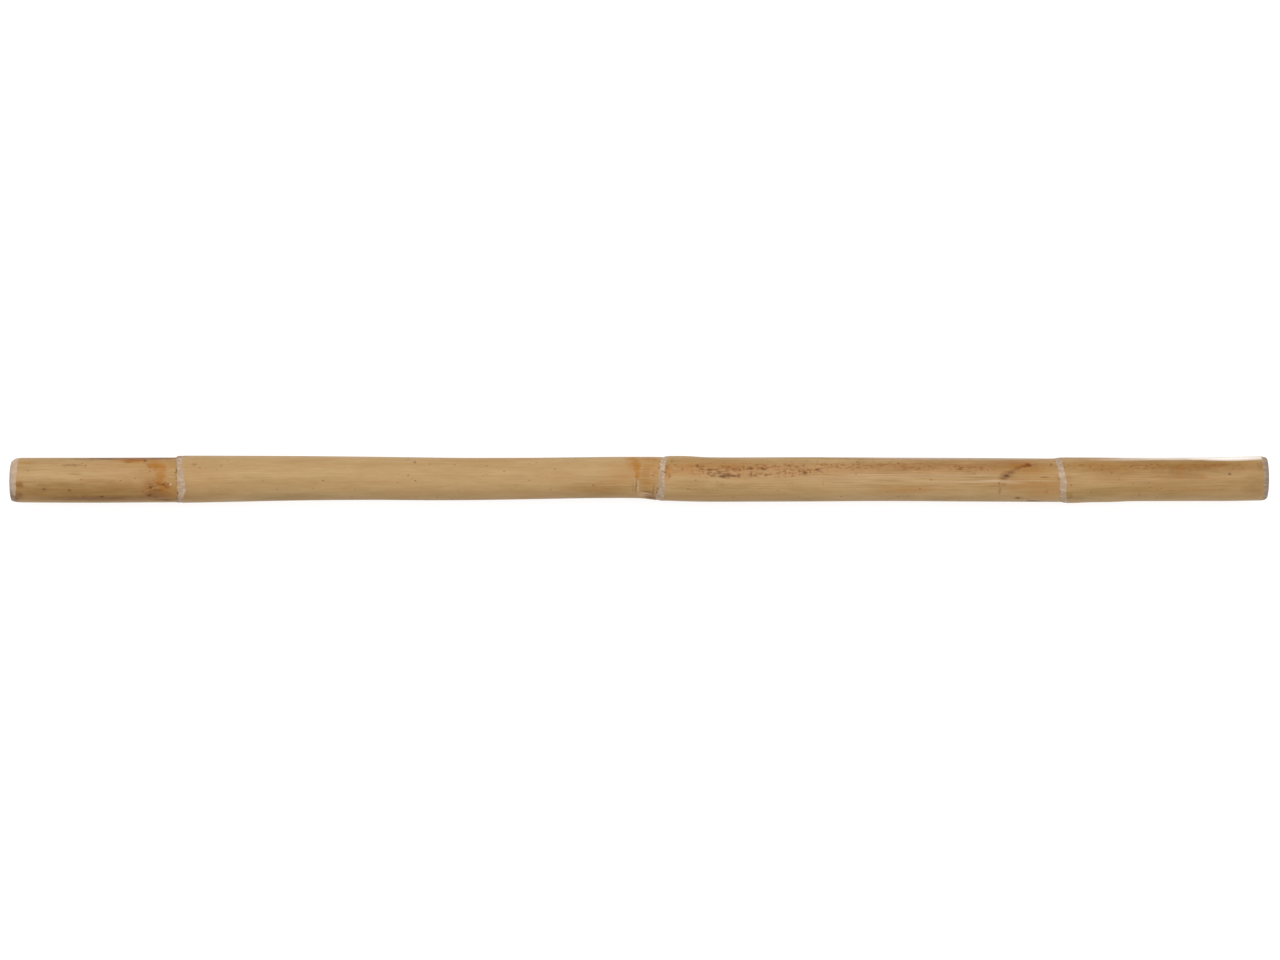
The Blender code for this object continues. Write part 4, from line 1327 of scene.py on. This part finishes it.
def set_bundles(name, points, width, height, material):
    """Makes one piece of bundles on the stem, one for each of the points."""
    mesh = bpy.data.meshes.new(name)
    mesh.from_pydata([place for place, _, _ in points], [], [])
    aims = np.array([aim for _, aim, _ in points], np.float32)
    mesh.attributes.new("aim", "FLOAT_VECTOR", "POINT").data.foreach_set("vector", aims.ravel())
    mesh.attributes.new("size", "FLOAT", "POINT").data.foreach_set("value", [size for _, _, size in points])
    piece = bpy.data.objects.new(name, mesh)
    bpy.context.scene.collection.objects.link(piece)
    bundle = make_bundle()
    bpy.context.scene.collection.objects.link(bundle)
    bundle_faces = len(bundle.data.polygons)
    values = {"Stem": bpy.data.objects["cane_skin"], "Bundle": bundle, "Width": width, "Height": height}
    apply_tree(piece, bundle_tree(), {**values, "Material": material})
    bpy.data.objects.remove(bundle, do_unlink=True)
    if len(piece.data.polygons) != bundle_faces * len(points):
        raise RuntimeError(f"{name} has {len(piece.data.polygons)} faces")
    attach(piece, "root")
    return piece


def read_corners(mesh):
    """Where each face corner of the mesh is, in millimetres."""
    return read_points(mesh, "position", "vector", 3)[corner_vertices(mesh)] / MM


class CANE_OT_grow_stem(bpy.types.Operator):
    """Grows the stem, trims its nodes and gives it its skin"""

    bl_idname = "cane.grow_stem"
    bl_label = "Grow stem"

    def execute(self, context):
        settings = context.scene.cane_stem
        stem = make_spine(settings)
        values = {
            "Sides": settings.sides,
            "Grain depth": settings.grain_depth,
            "Grain width": settings.grain_width,
            "Swell depth": settings.swell_depth,
            "Material": skin_material(context.scene.cane_finish),
        }
        apply_tree(stem, grown_stem_tree(), values)
        finish_stem(stem.data, settings)
        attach(stem, "root")
        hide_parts("cane")
        return {"FINISHED"}


class CANE_OT_set_end_bundles(bpy.types.Operator):
    """Sets the vessel bundles into both sawn ends"""

    bl_idname = "cane.set_end_bundles"
    bl_label = "Set end bundles"

    def execute(self, context):
        settings = context.scene.cane_ends
        material = bundle_material(context.scene.cane_finish)
        points = face_points(-1, settings) + face_points(1, settings)
        piece = set_bundles("end_bundles", points, settings.bundle_width, settings.bundle_height, material)
        corners = read_corners(piece.data)
        u = corners[:, 1] + END_SHEET * np.where(corners[:, 0] < 0, 0.25, 0.75)
        lay_flat(piece.data, u / END_SHEET, corners[:, 2] / END_SHEET)
        return {"FINISHED"}


class CANE_OT_set_node_scars(bpy.types.Operator):
    """Sets the scars of cut bundles round the trimmed nodes"""

    bl_idname = "cane.set_node_scars"
    bl_label = "Set node scars"

    def execute(self, context):
        settings = context.scene.cane_ends
        material = bundle_material(context.scene.cane_finish)
        points = scar_points(settings)
        piece = set_bundles("node_scars", points, settings.scar_width, settings.bundle_height, material)
        corners = read_corners(piece.data)
        places = np.array([node["place"] for node in NODES]) / MM
        nearest = np.argmin(np.abs(corners[:, :1] - places), axis=1)
        u = corners[:, 0] - places[nearest] + SCAR_MARGIN + SCAR_STRIP * nearest
        turn = np.arctan2(corners[:, 1], corners[:, 2] - MEAN_RADIUS / MM)
        v = (turn + math.pi) * MEAN_RADIUS / MM
        lay_flat(piece.data, u / SCAR_SHEET, v / SCAR_SHEET)
        return {"FINISHED"}


class CANE_OT_set_stage(bpy.types.Operator):
    """Adds the floor, the soft light and the camera"""

    bl_idname = "cane.set_stage"
    bl_label = "Set stage"

    def execute(self, context):
        scene = context.scene
        stage = scene.cane_stage
        bpy.ops.mesh.primitive_plane_add(size=FLOOR_SIDE, location=(0, 0, 0))
        floor = context.object
        floor.name = "floor"
        paper = bpy.data.materials.new("pale_paper")
        paper.use_nodes = True
        shader = paper.node_tree.nodes["Principled BSDF"]
        shader.inputs["Base Color"].default_value = stage.floor
        shader.inputs["Roughness"].default_value = 0.9
        shader.inputs["Emission Color"].default_value = (1, 1, 1, 1)
        shader.inputs["Emission Strength"].default_value = stage.glow
        floor.data.materials.append(paper)

        world = bpy.data.worlds.new("soft_sky")
        world.use_nodes = True
        tree = world.node_tree
        sight = add(tree, "ShaderNodeTexCoord").outputs["Generated"]
        height = add(tree, "ShaderNodeSeparateXYZ", {0: sight}).outputs["Z"]
        values = {"Value": height, "To Min": stage.horizon, "To Max": stage.zenith}
        strength = add(tree, "ShaderNodeMapRange", values)
        background = tree.nodes["Background"]
        background.inputs["Color"].default_value = (1, 1, 1, 1)
        tree.links.new(strength.outputs[0], background.inputs["Strength"])
        scene.world = world

        light = bpy.data.lights.new("key", "AREA")
        light.energy = stage.key
        light.shape = "RECTANGLE"
        light.size, light.size_y = KEY_SIZE
        key = bpy.data.objects.new("key", light)
        key.location = KEY_PLACE
        key.rotation_euler = (KEY_TILT, 0, 0)
        scene.collection.objects.link(key)

        lens = bpy.data.cameras.new("camera")
        lens.sensor_width = SENSOR
        lens.lens = LENS
        lens.clip_end = VIEW_REACH
        camera = bpy.data.objects.new("camera", lens)
        camera.location = CAMERA_PLACE
        scene.collection.objects.link(camera)
        scene.camera = camera
        scene.view_settings.view_transform = "Standard"
        return {"FINISHED"}


class VIEW3D_PT_cane(bpy.types.Panel):
    """Lists the cane's settings and steps"""

    bl_label = "Rattan cane"
    bl_space_type = "VIEW_3D"
    bl_region_type = "UI"
    bl_category = "Cane"

    def draw(self, context):
        for step in STEPS:
            self.layout.operator(step.bl_idname)
        for name in SETTINGS:
            box = self.layout.box()
            group = getattr(context.scene, name)
            for prop in group.bl_rna.properties:
                if prop.identifier not in ("rna_type", "name"):
                    box.prop(group, prop.identifier)


STEPS = (CANE_OT_grow_stem, CANE_OT_set_end_bundles, CANE_OT_set_node_scars, CANE_OT_set_stage)
SETTINGS = {
    "cane_stem": StemSettings,
    "cane_ends": EndSettings,
    "cane_finish": FinishSettings,
    "cane_stage": StageSettings,
}
CLASSES = tuple(SETTINGS.values()) + STEPS + (VIEW3D_PT_cane,)


def register():
    for made in CLASSES:
        bpy.utils.register_class(made)
    for name, group in SETTINGS.items():
        setattr(bpy.types.Scene, name, bpy.props.PointerProperty(type=group))


def unregister():
    for name in SETTINGS:
        delattr(bpy.types.Scene, name)
    for made in reversed(CLASSES):
        bpy.utils.unregister_class(made)


def main():
    register()
    bpy.ops.cane.grow_stem()
    bpy.ops.cane.set_end_bundles()
    bpy.ops.cane.set_node_scars()
    bpy.ops.cane.set_stage()


if __name__ == "__main__":
    main()
